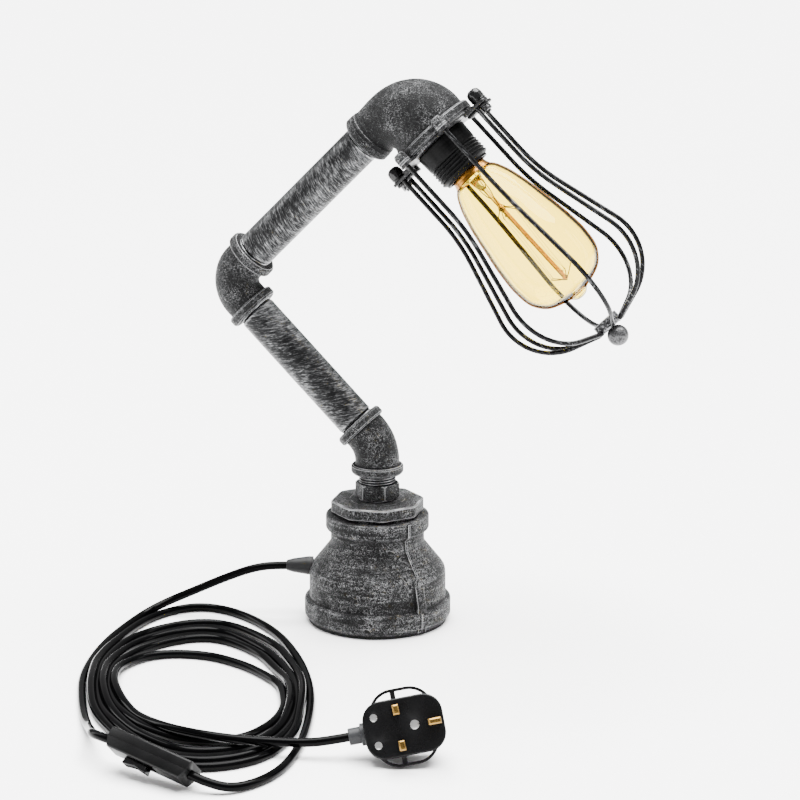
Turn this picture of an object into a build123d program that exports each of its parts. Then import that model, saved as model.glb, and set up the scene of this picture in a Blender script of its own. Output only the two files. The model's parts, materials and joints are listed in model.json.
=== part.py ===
from build123d import *
import os
from math import atan2, cos, degrees, pi, radians, sin, sqrt, tan

# Industrial pipe table lamp, in millimetres, +Z up.
# Origin: centre of the face it stands on.  Both arms and the head lie in the XZ plane.

os.makedirs("parts", exist_ok=True)

# ---------------------------------------------------------------- fits and gaps
FIT = 0.06             # radial play of a threaded or turned piece in its bore
SEAT = 0.1             # play between two faces that seat on each other
EASE = 0.3             # gap round a piece that only has to clear its neighbour

# ---------------------------------------------------------------- foot and base casting
PAD_THICKNESS = 2.5
PAD_R = 49.5
FLANGE_R = 52.2
FLANGE_TOP = 16.2
SHOULDER_R = 48.6      # upright part of the bell above the flange
SHOULDER_TOP = 38.0
NECK_R = 33.2
NECK_START = 57.8
NECK_TOP = 65.5
COLLAR_R = 36.7
COLLAR_TOP = 78.2
BASE_WALL = 6.0
RIB_ANGLE = -34.6      # the two cast ribs stand opposite each other on this line
RIB_WIDTH = 7.0
SEAM_WIDTH = 2.2
SEAM_PROUD = 0.6
EARTH_R = 2.0          # earth screw inside the bell
EARTH_HEAD_R = 3.6

# ---------------------------------------------------------------- bushing and nipple
BUSH_THREAD_R = 29.3
BUSH_DEPTH = 20.0      # length of the bushing's thread inside the base
BUSH_GAP = 2.0         # thread left showing under the octagon
OCTAGON_R = 33.6       # over the corners
OCTAGON_HEIGHT = 8.4
OCTAGON_TURN = 26.0
PIPE_THREAD_R = 13.22  # outside of a 3/4 inch pipe thread
PIPE_R = 13.45         # outside of the 3/4 inch pipe itself
PIPE_BORE_R = 10.8
THREAD_SEAT = 12.0     # thread length inside each fitting
THREAD_SHOWN = 2.0     # thread left showing beside each fitting
NIPPLE_FLATS = 28.0
NIPPLE_HEX_HEIGHT = 11.0
NIPPLE_GAP = 1.6
NIPPLE_TURN = 8.0
NIPPLE_SHOWN = 6.6     # thread between the hexagon and the swivel elbow

# ---------------------------------------------------------------- arms
BAND_R = 18.5          # rolled band round the mouth of each small fitting
BAND_WIDTH = 6.5
ELBOW_BODY_R = 15.6
BEND_45_R = 30.0
LEG_45 = 20.9          # centre of the 45 degree elbow to its mouths
BEND_90_R = 18.4
LEG_90 = 29.9          # centre of the 90 degree elbow to its mouths
LOWER_PIPE_SHOWN = 107.3
UPPER_PIPE_SHOWN = 116.0
FLEX_R = 2.9           # round mains flex, inside and outside the lamp
FLEX_TURN_BASE = 24.0  # radii of the flex's turns inside the fittings
FLEX_TURN_45 = 14.0
FLEX_TURN_90 = 16.4
FLEX_TURN_HEAD = 15.0

# ---------------------------------------------------------------- head elbow
HEAD_LEG_IN = 40.3     # centre of the head elbow to its small mouth
HEAD_LEG_OUT = 34.0    # centre of the head elbow to its wide mouth
HEAD_NECK_R = 17.5
HEAD_BELL_R = 28.2
HEAD_BAND_R = 31.2
HEAD_BAND_WIDTH = 7.0
HEAD_CROTCH_S = -28.2  # the inner corner that the reducing bend turns about
HEAD_CROTCH_T = 24.0
HEAD_INNER_GAP = 6.4   # crotch to casting at the small end
HEAD_INNER_END = 0.4   # the same at the wide end
HEAD_WALL = 4.0
HEAD_BORE_R = 25.5     # thread of the wide mouth
BEND_SECTIONS = 7

# ---------------------------------------------------------------- lamp holder
PLUG_DISC_THICKNESS = 6.0
STEM_R = 5.0
STEM_BORE_R = 3.4
STEM_LOCKNUT_FLATS = 14.0
STEM_LOCKNUT_HEIGHT = 3.5
HOLDER_NECK_R = 18.0   # the cage's clamp plates close round this neck
HOLDER_TOP_R = 20.0
HOLDER_MOUTH_R = 17.4
HOLDER_LENGTH = 28.0   # shoulder to mouth
HOLDER_BORE_R = 15.2
HOLDER_RIDGE = 1.2
HOLDER_RIDGES = 5
SHELL_WALL = 0.5

# ---------------------------------------------------------------- bulb
CAP_R = 13.2
CAP_COLLAR_R = 13.9
CAP_LENGTH = 20.5
CAP_COLLAR_SHOWN = 3.6 # metal seen between holder and glass
GLASS_WALL = 0.9
GLASS_LENGTH = 112.0   # collar to tip
GLASS_NECK_R = 13.0
# outside of the glass: radius, distance from the collar, lean of the surface
GLASS_SHAPE = [(GLASS_NECK_R, 0.0, 0), (16.6, 3.4, -40), (20.7, 11.0, -24), (24.6, 23.5, -14),
               (28.4, 43.0, -10), (31.6, 64.0, -6), (32.4, 80.0, 4), (29.9, 94.0, 32),
               (23.0, 102.6, 58), (13.0, 107.0, 74), (6.8, 108.8, 64), (4.6, 110.8, 50)]
STEM_ROD_R = 1.6
WIRE_SUPPORT_R = 0.35
PINCH_FROM_COLLAR = 13.0
HUB_FROM_COLLAR = 30.5
STEM_FROM_COLLAR = 95.0

# ---------------------------------------------------------------- cage
PLATE_THICKNESS = 2.0
PLATE_R = 30.5
PLATE_SPLIT = 0.5      # half the gap between the two clamp plates
STUD_AT = 36.5         # distance of the wire ends from the head's axis
WIRE_R = 1.65
WIRE_BELLY_R = 38.3    # radius of the round belly of each wire
WIRE_BEND_R = 130.0
WIRE_BEND_AT = 95.0
WIRE_CORNER = (63.6, 191.0)
WIRE_END = (9.8, 208.0)
EAR_WIRE_OFFSET = 6.0
THUMB_AT = 39.8
THUMB_SHANK_R = 2.0
THUMB_KNOB_R = 5.3
THUMB_KNOB_HEIGHT = 9.8
NUT_FLATS = 7.0
NUT_HEIGHT = 4.0
DOME_NUT_R = 4.5
DOME_NUT_HEIGHT = 8.5
TAB_WIDTH = 9.0
EAR_REACH = 45.0
EAR_INNER = 4.0        # each ear reaches this far past the split
EAR_OUTER = 8.5
HUB_R = 9.6
HUB_TOP = 201.4
HUB_WALL = 1.4
FINIAL_R = 7.25

# ---------------------------------------------------------------- strain relief and cord
EXIT_ANGLE = 195.0     # the cord leaves the base this way, seen from above
EXIT_HEIGHT = 38.0
RELIEF_ROOT_R = 6.6
RELIEF_TIP_R = 5.0
RELIEF_END_R = 3.6
RELIEF_LENGTH = 16.5   # seen outside the base
RELIEF_INSIDE = 5.0    # reach behind the wall
RELIEF_SEAT = SHOULDER_R - 2.6               # flat seat outside, from the base's middle
RELIEF_CLIP = SHOULDER_R - BASE_WALL + 0.8   # flat seat inside
RELIEF_SHOULDER = 5.0  # rounded end of the strain relief
LEAD_STRAIGHT = 100.0  # first bend of the cord, from the base's middle
LEAD_POINTS = [(-130.0, -25.0, 14.0), (-152.0, -46.0, 6.0)]
LEAD_RADII = [60.0, 33.0]
COIL_CENTRE = (-59.3, -196.8)
COIL_TURN = 18.0
# distance from the coil's middle to its outer and inner edge, at even angles
COIL_OUTER = (76, 81, 97, 132, 180, 160, 111, 85, 77, 79, 86, 108, 150, 141, 105, 81)
COIL_INNER = (53, 54, 55, 63, 77, 86, 77, 59, 49, 46, 48, 57, 75, 81, 69, 59)
COIL_HEIGHT = 12.5
COIL_ROUND = 2.5
PLUG_LEAD_BEND = 60.0

# ---------------------------------------------------------------- switch on the cord
SWITCH_LENGTH = 62.0
SWITCH_WIDE = 16.0     # across the face with the rocker
SWITCH_DEEP = 13.0
SWITCH_WALL = 1.6
SWITCH_ROUND = 1.6
SWITCH_END_DROP = 3.0  # the ends slope in by this much
SWITCH_PLACE = (-34.0, -332.0)
SWITCH_HEADING = -17.0
SWITCH_TILT = 8.0      # one end lies on the coil, the other on the floor
SWITCH_LEAN = 45.0     # the rocker face looks down by this much
ROCKER_AT = -3.0
ROCKER_LENGTH = 18.0
ROCKER_WIDTH = 7.0
ROCKER_PROUD = 1.6
ROCKER_DEPTH = 3.4     # pivot below the face
ROCKER_TRAVEL = 16.0
SWITCH_SCREW_R = 1.8
SWITCH_STUB = 4.0      # cord seen between switch and coil
SWITCH_SCREWS_AT = (-21.0, 21.0)

# ---------------------------------------------------------------- plug
PLUG_LENGTH = 50.0
PLUG_FACE_WIDTH = 36.0
PLUG_FACE_THICKNESS = 8.0
PLUG_DEPTH = 25.0
PLUG_BACK_LENGTH = 41.0
PLUG_BACK_WIDTH = 27.0
PLUG_WALL = 2.0
PLUG_CORNER = 12.0
GRIP_LENGTH = 40.0
GRIP_SPAN = 48.0       # over the two finger grips
GRIP_CORNER = 15.0
GRIP_THICKNESS = 4.5
GRIP_RIM = 1.9
GRIP_BAR = 3.2
GRIP_BAR_AT = -3.5
PIN_PITCH = 22.1       # line to neutral
EARTH_PITCH = 22.2
PIN_LINE = -3.3        # line of the two small pins from the middle of the face
PIN_SMALL = (4.0, 6.35, 17.7)
PIN_EARTH = (7.92, 4.0, 22.7)
PIN_ROOT = 5.0
PIN_SLEEVE = 9.5       # moulded part of the two small pins
PIN_SLEEVE_WALL = 0.5
PLUG_SCREW_R = 3.0
PLUG_SCREW_AT = (6.6, 0.0)
GRIP_SCREW_R = 2.5
GRIP_SCREW_AT = (-17.6, 8.6)
SLEEVE_LENGTH = 10.0
SLEEVE_INSIDE = 4.0
SLEEVE_R = 5.3
SLEEVE_COLLAR_R = 7.0
CORD_DEPTH = 14.0      # cord's line behind the plug's face
FUSE_R = 3.15
FUSE_LENGTH = 25.4
PLUG_HEADING = 17.97   # the plug's own length, from +X
PLUG_FACE_RISE = 21.0  # the face looks up this much
PLUG_ROLL = 10.8
PLUG_PLACE = (104.4, -262.2, 25.25)
PLUG_LEAD_END = (22.0, -262.0, 6.5)   # inside the coil
FLOOR_PLAY = 0.15      # cord, switch and plug lie this far above the floor

# ---------------------------------------------------------------- derived places
HALF = sqrt(0.5)
DIR_LOWER = Vector(-HALF, 0, HALF)      # along the lower pipe, upwards
DIR_UPPER = Vector(HALF, 0, HALF)       # along the upper pipe, upwards
DIR_HEAD = Vector(HALF, 0, -HALF)       # out of the head, downwards

OCTAGON_BASE = COLLAR_TOP + BUSH_GAP
OCTAGON_TOP = OCTAGON_BASE + OCTAGON_HEIGHT
HEX_BASE = OCTAGON_TOP + NIPPLE_GAP
HEX_TOP = HEX_BASE + NIPPLE_HEX_HEIGHT
SWIVEL_FACE = HEX_TOP + NIPPLE_SHOWN    # lower mouth of the 45 degree elbow
CENTRE_45 = Vector(0, 0, SWIVEL_FACE + LEG_45)
CENTRE_90 = CENTRE_45 + DIR_LOWER * (LEG_45 + LOWER_PIPE_SHOWN + LEG_90)
CENTRE_HEAD = CENTRE_90 + DIR_UPPER * (LEG_90 + UPPER_PIPE_SHOWN + HEAD_LEG_IN)

FRAME_45 = Plane(CENTRE_45, x_dir=Vector(-1, 0, 0), z_dir=Vector(0, 0, 1))
FRAME_90 = Plane(CENTRE_90, x_dir=DIR_UPPER, z_dir=DIR_LOWER)
FRAME_BEND = Plane(CENTRE_HEAD, x_dir=DIR_HEAD, z_dir=DIR_UPPER)
FRAME_HEAD = Plane(CENTRE_HEAD, x_dir=DIR_UPPER, z_dir=DIR_HEAD)

PLATE_TOP = HEAD_LEG_OUT + EASE         # distances along the head's axis
PLATE_BOTTOM = PLATE_TOP + PLATE_THICKNESS
HOLDER_SHOULDER = PLATE_BOTTOM + EASE
HOLDER_MOUTH = HOLDER_SHOULDER + HOLDER_LENGTH
COLLAR_END = HOLDER_MOUTH + CAP_COLLAR_SHOWN


# ---------------------------------------------------------------- helpers
def save(node, shape):
    """Write one sub-part, as one solid or a group of separate solids."""
    solids = shape.solids()
    body = solids[0] if len(solids) == 1 else Compound(children=solids)
    export_step(body, f"parts/{node}.step")


def outline(points):
    """Closed outline from (radius, height) corners, each with an optional rounding."""
    face = make_face(Polyline(*[(p[0], p[1]) for p in points], close=True))
    for p in points:
        if len(p) > 2:
            corner = min(face.vertices(), key=lambda v: (v.X - p[0]) ** 2 + (v.Y - p[1]) ** 2)
            face = fillet(corner, p[2])
    return face


def turned(points):
    """Solid of revolution about Z."""
    return revolve(Plane.XZ * outline(points), Axis.Z)


def cylinder_between(radius, low, high):
    return Pos(0, 0, low) * Cylinder(radius, high - low, align=(Align.CENTER, Align.CENTER, Align.MIN))


def tube_along(radius, path):
    start = Plane(path @ 0, z_dir=path % 0)
    return sweep(start * Circle(radius), path=path)


def slab(low, high, x0, x1, y0, y1):
    corner = (Align.MIN, Align.MIN, Align.MIN)
    return Pos(x0, y0, low) * Box(x1 - x0, y1 - y0, high - low, align=corner)


def ring_of(count, radius, start=0.0):
    """Places evenly spaced on a circle, as (x, y)."""
    angles = [radians(start + 360 * i / count) for i in range(count)]
    return [(radius * cos(a), radius * sin(a)) for a in angles]


def hex_prism(flats, low, high, turn=0.0):
    prism = extrude(RegularPolygon(flats / 2, 6, major_radius=False), high - low)
    return Pos(0, 0, low) * Rot(0, 0, turn) * prism


# ---------------------------------------------------------------- base
def foot_pad():
    return turned([(0, 0), (PAD_R, 0, 0.6), (PAD_R, PAD_THICKNESS), (0, PAD_THICKNESS)])


def base_outline(grow=0.0):
    """Half section of the bell reducer, from the foot to the collar."""
    return [
        (0, PAD_THICKNESS),
        (FLANGE_R + grow - 2.0, PAD_THICKNESS),
        (FLANGE_R + grow, PAD_THICKNESS + 3.0, 2.0),
        (FLANGE_R + grow, FLANGE_TOP, 1.6),
        (SHOULDER_R + grow, FLANGE_TOP + 1.4, 1.5),
        (SHOULDER_R + grow, SHOULDER_TOP, 10.0),
        (NECK_R + grow, NECK_START, 6.0),
        (NECK_R + grow, NECK_TOP, 1.0),
        (COLLAR_R + grow, NECK_TOP + 3.0, 2.0),
        (COLLAR_R + grow, COLLAR_TOP, 1.4),
        (0, COLLAR_TOP),
    ]


def exit_frame(distance):
    """Frame on the cord's way out of the base, +Z outwards."""
    a = radians(EXIT_ANGLE)
    out = Vector(cos(a), sin(a), 0)
    return Plane(out * distance + Vector(0, 0, EXIT_HEIGHT), x_dir=Vector(0, 0, 1), z_dir=out)


def base_reducer():
    body = turned(base_outline())
    seam_arc = degrees(SEAM_WIDTH / FLANGE_R)
    for side in (0, 180):
        heading = RIB_ANGLE + side
        seam = revolve(Plane.XZ * outline(base_outline(SEAM_PROUD)), Axis.Z, seam_arc)
        body += Rot(0, 0, heading - seam_arc / 2) * seam
        rib = make_face(Polyline((SHOULDER_R - 4, FLANGE_TOP - 2), (FLANGE_R - 0.2, FLANGE_TOP - 2),
                                 (FLANGE_R - 0.2, FLANGE_TOP + 6), (SHOULDER_R - 1.5, SHOULDER_TOP + 4),
                                 (SHOULDER_R - 8, SHOULDER_TOP), close=True))
        rib = extrude(Plane.XZ * rib, RIB_WIDTH / 2, both=True)
        body += Rot(0, 0, heading) * rib
    wall = BASE_WALL
    hollow = turned([
        (0, PAD_THICKNESS - 1),
        (FLANGE_R - 2 * wall / 2 - 3, PAD_THICKNESS - 1),
        (SHOULDER_R - wall, FLANGE_TOP),
        (SHOULDER_R - wall, SHOULDER_TOP - 3, 8.0),
        (BUSH_THREAD_R - 2, NECK_START - 3),
        (BUSH_THREAD_R - 2, COLLAR_TOP - BUSH_DEPTH),
        (BUSH_THREAD_R + FIT, COLLAR_TOP - BUSH_DEPTH),
        (BUSH_THREAD_R + FIT, COLLAR_TOP + 1),
        (0, COLLAR_TOP + 1),
    ])
    body -= hollow
    exit_cuts = [cylinder_between(RELIEF_ROOT_R + FIT, RELIEF_SEAT, FLANGE_R + 5),
                 cylinder_between(RELIEF_END_R + 3 + EASE, 24, RELIEF_CLIP),
                 cylinder_between(RELIEF_END_R + 1 + FIT, 30, FLANGE_R)]
    for cut in exit_cuts:
        body -= exit_frame(0).location * cut
    screw_hole = earth_frame().location * cylinder_between(EARTH_R + FIT, -BASE_WALL - 2, 4)
    return body - screw_hole


def earth_frame():
    """Inside the upright wall of the bell, opposite the cord, +Z inwards."""
    a = radians(EXIT_ANGLE + 180)
    out = Vector(cos(a), sin(a), 0)
    face = SHOULDER_R - BASE_WALL
    return Plane(out * face + Vector(0, 0, 26.0), x_dir=Vector(0, 0, 1), z_dir=-out)


def earth_screw():
    """Earth screw with its ring tag and washer, from inside the bell."""
    shank = cylinder_between(EARTH_R, -BASE_WALL + 2.0, 1.0)
    tag = cylinder_between(EARTH_HEAD_R + 1.4, 1.0, 1.8)
    head = cylinder_between(EARTH_HEAD_R, 1.8, 4.2)
    return earth_frame().location * (shank + tag + head)


def strain_relief():
    """Moulded relief, clipped in the wall and tapered round the cord."""
    wall_in = SHOULDER_R - BASE_WALL
    tip = SHOULDER_R + RELIEF_LENGTH
    back = wall_in - RELIEF_INSIDE
    seat = RELIEF_SEAT + SEAT
    profile = turned([
        (FLEX_R + SEAT, back), (RELIEF_END_R + 3, back, 0.6), (RELIEF_END_R + 3, RELIEF_CLIP - SEAT),
        (RELIEF_END_R + 1, RELIEF_CLIP - SEAT), (RELIEF_END_R + 1, seat), (RELIEF_ROOT_R, seat),
        (RELIEF_ROOT_R, SHOULDER_R + 1.0, 0.5), (RELIEF_TIP_R, tip - RELIEF_SHOULDER, 4.0),
        (RELIEF_END_R, tip), (FLEX_R + SEAT, tip),
    ])
    return exit_frame(0).location * profile


def reducing_bushing():
    octagon = RegularPolygon(OCTAGON_R, 8)
    head = Pos(0, 0, OCTAGON_BASE) * Rot(0, 0, OCTAGON_TURN) * extrude(octagon, OCTAGON_HEIGHT)
    crown = turned([(0, OCTAGON_BASE), (OCTAGON_R - 1.4, OCTAGON_BASE), (OCTAGON_R, OCTAGON_BASE + 0.9),
                    (OCTAGON_R, OCTAGON_TOP - 0.9), (OCTAGON_R - 1.8, OCTAGON_TOP), (0, OCTAGON_TOP)])
    head = head & crown
    thread = cylinder_between(BUSH_THREAD_R, COLLAR_TOP - BUSH_DEPTH + 1, OCTAGON_BASE)
    body = head + thread
    body -= cylinder_between(BUSH_THREAD_R - 6, 0, COLLAR_TOP - 8)
    return body - cylinder_between(PIPE_THREAD_R + FIT, 0, OCTAGON_TOP + 1)


def hex_nipple():
    hexagon = hex_prism(NIPPLE_FLATS, HEX_BASE, HEX_TOP, NIPPLE_TURN)
    over = NIPPLE_FLATS / sqrt(3)
    crown = turned([(0, HEX_BASE), (over - 1.6, HEX_BASE), (over, HEX_BASE + 1.0),
                    (over, HEX_TOP - 1.0), (over - 1.6, HEX_TOP), (0, HEX_TOP)])
    body = (hexagon & crown) + cylinder_between(PIPE_THREAD_R, HEX_BASE - NIPPLE_GAP - THREAD_SEAT,
                                                SWIVEL_FACE + THREAD_SEAT)
    return body - cylinder_between(PIPE_BORE_R, 0, SWIVEL_FACE + 2 * THREAD_SEAT)


# ---------------------------------------------------------------- fittings and pipes
def band(radius, mouth, width):
    """Rolled band that starts at a mouth on the -Z side of a fitting."""
    return turned([(0, mouth), (radius - 1.4, mouth), (radius, mouth + 1.4, 1.0),
                   (radius, mouth + width - 1.2, 1.0), (radius - 1.2, mouth + width), (0, mouth + width)])


def other_mouth(angle):
    """Turn about the elbow's own centre that carries the -Z mouth to the outlet."""
    return Rot(0, angle + 180, 0)


def elbow(leg, bend_r, angle):
    """Equal elbow: inlet faces -Z, outlet is turned by angle towards +X."""
    a = radians(angle)
    path = FilletPolyline((0, 0, -leg), (0, 0, 0), (leg * sin(a), 0, leg * cos(a)), radius=bend_r)
    body = tube_along(ELBOW_BODY_R, path)
    way = tube_along(PIPE_BORE_R, path)
    for turn in (Rot(0, 0, 0), other_mouth(angle)):
        body += turn * band(BAND_R, -leg, BAND_WIDTH)
    body -= way
    for turn in (Rot(0, 0, 0), other_mouth(angle)):
        body -= turn * cylinder_between(PIPE_THREAD_R + FIT, -leg - 1, -leg + THREAD_SEAT + SEAT)
    return body


def pipe(shown):
    """Pipe with a thread at each end; z = 0 is at the lower fitting's mouth."""
    low = -THREAD_SEAT
    high = shown + THREAD_SEAT
    tube = turned([
        (0, low), (PIPE_THREAD_R, low), (PIPE_THREAD_R, THREAD_SHOWN),
        (PIPE_R, THREAD_SHOWN + 0.3), (PIPE_R, shown - THREAD_SHOWN - 0.3),
        (PIPE_THREAD_R, shown - THREAD_SHOWN), (PIPE_THREAD_R, high), (0, high),
    ])
    return tube - cylinder_between(PIPE_BORE_R, low - 1, high + 1)


def bend_section(share, wall):
    """One round section of the reducing bend, at a share of its quarter turn."""
    turn = 90 * share
    grown = sin(radians(turn)) ** 1.5
    radius = HEAD_NECK_R + (HEAD_BELL_R - HEAD_NECK_R) * grown
    inner = HEAD_INNER_GAP + (HEAD_INNER_END - HEAD_INNER_GAP) * share
    reach = inner + radius
    a = radians(turn)
    # local frame of the fitting: Z is the way in, X the way out
    centre = Vector(HEAD_CROTCH_T - reach * cos(a), 0, HEAD_CROTCH_S + reach * sin(a))
    way = Vector(sin(a), 0, cos(a))
    return Plane(centre, x_dir=Vector(0, 1, 0), z_dir=way) * Circle(radius - wall)


def reducing_bend(wall):
    """Casting that grows from the small neck to the wide bell in a quarter turn."""
    sections = [bend_section(i / (BEND_SECTIONS - 1), wall) for i in range(BEND_SECTIONS)]
    spine = Spline(*[f.center() for f in sections], tangents=((0, 0, 1), (1, 0, 0)))
    return sweep(sections, path=spine, multisection=True)


def head_elbow():
    neck_start = Vector(HEAD_CROTCH_T - HEAD_INNER_GAP - HEAD_NECK_R, 0, 0)
    to_mouth = Rot(0, 90, 0)             # carries +Z to the way out, +X
    bend = reducing_bend(0)
    neck = Pos(neck_start) * cylinder_between(HEAD_NECK_R, -HEAD_LEG_IN + 1, HEAD_CROTCH_S)
    step = cylinder_between(HEAD_NECK_R + 0.7, -HEAD_LEG_IN + 2, -HEAD_LEG_IN + HEAD_BAND_WIDTH + 3.2)
    bell = to_mouth * cylinder_between(HEAD_BELL_R, HEAD_CROTCH_T, HEAD_LEG_OUT - 1)
    rim = to_mouth * Rot(180, 0, 0) * band(HEAD_BAND_R, -HEAD_LEG_OUT, HEAD_BAND_WIDTH)
    body = bend + neck + step + bell + band(BAND_R, -HEAD_LEG_IN, HEAD_BAND_WIDTH) + rim
    body -= reducing_bend(HEAD_WALL)
    body -= cylinder_between(PIPE_BORE_R, -HEAD_LEG_IN, HEAD_CROTCH_S + 4)
    body -= cylinder_between(PIPE_THREAD_R + FIT, -HEAD_LEG_IN - 1, -HEAD_LEG_IN + THREAD_SEAT + SEAT)
    return body - to_mouth * cylinder_between(HEAD_BORE_R, HEAD_CROTCH_T - 5, HEAD_LEG_OUT + 1)


# ---------------------------------------------------------------- lamp holder, along the head's axis
DISC_LOW = HEAD_CROTCH_T - 5 + SEAT
DISC_HIGH = DISC_LOW + PLUG_DISC_THICKNESS
STEM_LOW = DISC_LOW - STEM_LOCKNUT_HEIGHT - 2.0
STEM_HIGH = DISC_HIGH + 12.0
HOLDER_FLOOR = STEM_HIGH + 1.5


def holder_disc():
    """Threaded disc in the wide mouth that carries the lamp holder."""
    disc = cylinder_between(HEAD_BORE_R - FIT, DISC_LOW, DISC_HIGH)
    disc -= cylinder_between(STEM_R + FIT, DISC_LOW - 1, DISC_HIGH + 1)
    for x, y in ring_of(2, HEAD_BORE_R * 0.65, 90):
        disc -= Pos(x, y, 0) * cylinder_between(2.2, DISC_LOW - 1, DISC_HIGH + 1)
    return disc


def holder_stem():
    return cylinder_between(STEM_R, STEM_LOW, STEM_HIGH) - cylinder_between(STEM_BORE_R, 0, STEM_HIGH + 9)


def holder_locknut():
    top = DISC_LOW - SEAT
    nut = hex_prism(STEM_LOCKNUT_FLATS, top - STEM_LOCKNUT_HEIGHT, top)
    return nut - cylinder_between(STEM_R + FIT, 0, top + 1)


def lamp_holder():
    """Moulded holder: neck for the clamp plates, shoulder, and a ribbed skirt."""
    low = DISC_HIGH + SEAT
    ridges_from = HOLDER_SHOULDER + 0.48 * HOLDER_LENGTH
    ridges_to = HOLDER_MOUTH - 2.0
    pitch = (ridges_to - ridges_from) / HOLDER_RIDGES
    waist = HOLDER_TOP_R - 1.2
    points = [(STEM_R + FIT, low), (HOLDER_NECK_R, low), (HOLDER_NECK_R, HOLDER_SHOULDER),
              (HOLDER_TOP_R, HOLDER_SHOULDER + 0.4), (HOLDER_TOP_R - 0.5, ridges_from - 1.0),
              (waist, ridges_from)]
    for i in range(HOLDER_RIDGES):
        z = ridges_from + i * pitch
        points += [(waist + HOLDER_RIDGE, z + 0.45 * pitch), (waist, z + 0.9 * pitch)]
    points += [(HOLDER_MOUTH_R, ridges_to + 0.6), (HOLDER_MOUTH_R, HOLDER_MOUTH),
               (HOLDER_BORE_R, HOLDER_MOUTH), (HOLDER_BORE_R, HOLDER_FLOOR),
               (STEM_BORE_R, HOLDER_FLOOR), (STEM_BORE_R, STEM_HIGH + SEAT),
               (STEM_R + FIT, STEM_HIGH + SEAT)]
    return turned(points)


def screw_shell():
    """Brass sleeve inside the holder that takes the bulb's cap."""
    outer = HOLDER_BORE_R - FIT
    low = HOLDER_FLOOR + SEAT
    return turned([(outer - SHELL_WALL, low), (outer, low), (outer, HOLDER_MOUTH - 3),
                   (outer - SHELL_WALL, HOLDER_MOUTH - 3)])


def centre_contact():
    """Sprung brass tongue under the bulb's tip."""
    low = HOLDER_FLOOR + SEAT
    blade = slab(low, low + 0.6, 4.0, 11.0, -2.5, 2.5)
    rise = slab(low, low + 1.6, 4.0, 4.6, -2.5, 2.5)
    return blade + rise + slab(low + 1.0, low + 1.6, -3.0, 4.6, -2.5, 2.5)


# ---------------------------------------------------------------- bulb
CAP_TIP = HOLDER_FLOOR + SEAT + 1.6 + SEAT
CAP_LOW = CAP_TIP + 4.0
GLASS_START = COLLAR_END - 1.2


def bulb_cap():
    """Plated cap with its rolled thread and the flared collar that holds the glass."""
    points = [(4.4, CAP_LOW - 2.2), (CAP_R - 3.0, CAP_LOW - 0.6), (CAP_R - 0.8, CAP_LOW + 1.2)]
    turns = 4
    pitch = (HOLDER_MOUTH - 2.0 - CAP_LOW - 2.0) / turns
    for i in range(turns):
        z = CAP_LOW + 2.0 + i * pitch
        points += [(CAP_R, z + 0.3 * pitch), (CAP_R - 0.9, z + 0.8 * pitch)]
    points += [(CAP_R, HOLDER_MOUTH - 1.0), (CAP_COLLAR_R, COLLAR_END - 1.0), (CAP_COLLAR_R, COLLAR_END)]
    inner = [(r - 0.4, z) for r, z in points]
    return turned(points + inner[::-1])


def bulb_tip():
    """Black insulator at the end of the cap, with the solder contact on it."""
    seat = CAP_LOW - 2.2 - SEAT
    return turned([(0, CAP_TIP), (3.0, CAP_TIP), (4.3, CAP_TIP + 0.7), (8.0, seat - 0.6),
                   (8.0, seat), (0, seat)])


def glass_line(inset):
    """Teardrop line from the neck to the tip, moved inwards by inset."""
    places = []
    for radius, along, lean in GLASS_SHAPE:
        a = radians(lean)
        places.append((radius - inset * cos(a), COLLAR_END + along - inset * sin(a)))
    places.append((0, COLLAR_END + GLASS_LENGTH - inset))
    return Spline(*places, tangents=((0.8, 1.0), (-1.0, 0.0)))


def bulb_glass():
    """Thin glass shell, open at the neck."""
    outer, inner = glass_line(0), glass_line(GLASS_WALL)
    out_foot, in_foot = Vector(GLASS_NECK_R, GLASS_START), Vector(GLASS_NECK_R - GLASS_WALL, GLASS_START)
    section = make_face([Line(out_foot, outer @ 0), outer, Line(outer @ 1, inner @ 1), inner,
                         Line(inner @ 0, in_foot), Line(in_foot, out_foot)])
    return revolve(Plane.XZ * section, Axis.Z)


STEM_PINCH = COLLAR_END + PINCH_FROM_COLLAR
STEM_HUB = COLLAR_END + HUB_FROM_COLLAR
STEM_END = COLLAR_END + STEM_FROM_COLLAR


def bulb_stem():
    """Glass stem: flare in the neck, pinch, long rod and its two beads."""
    start = GLASS_START + 1.0
    flare_r = GLASS_NECK_R - GLASS_WALL - SEAT
    return turned([
        (0, start + 1.0), (flare_r - 1.0, start + 1.0), (flare_r, start), (flare_r, start + 1.2),
        (5.0, start + 3.2, 2.0), (4.2, STEM_PINCH - 2.0, 1.5), (STEM_ROD_R, STEM_PINCH, 0.5),
        (STEM_ROD_R, STEM_HUB - 2.4, 0.5), (STEM_ROD_R + 1.4, STEM_HUB, 0.8),
        (STEM_ROD_R, STEM_HUB + 2.4, 0.5), (STEM_ROD_R, STEM_END - 2.0, 0.5),
        (STEM_ROD_R + 1.0, STEM_END, 0.7), (0, STEM_END + 1.8),
    ])


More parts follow.
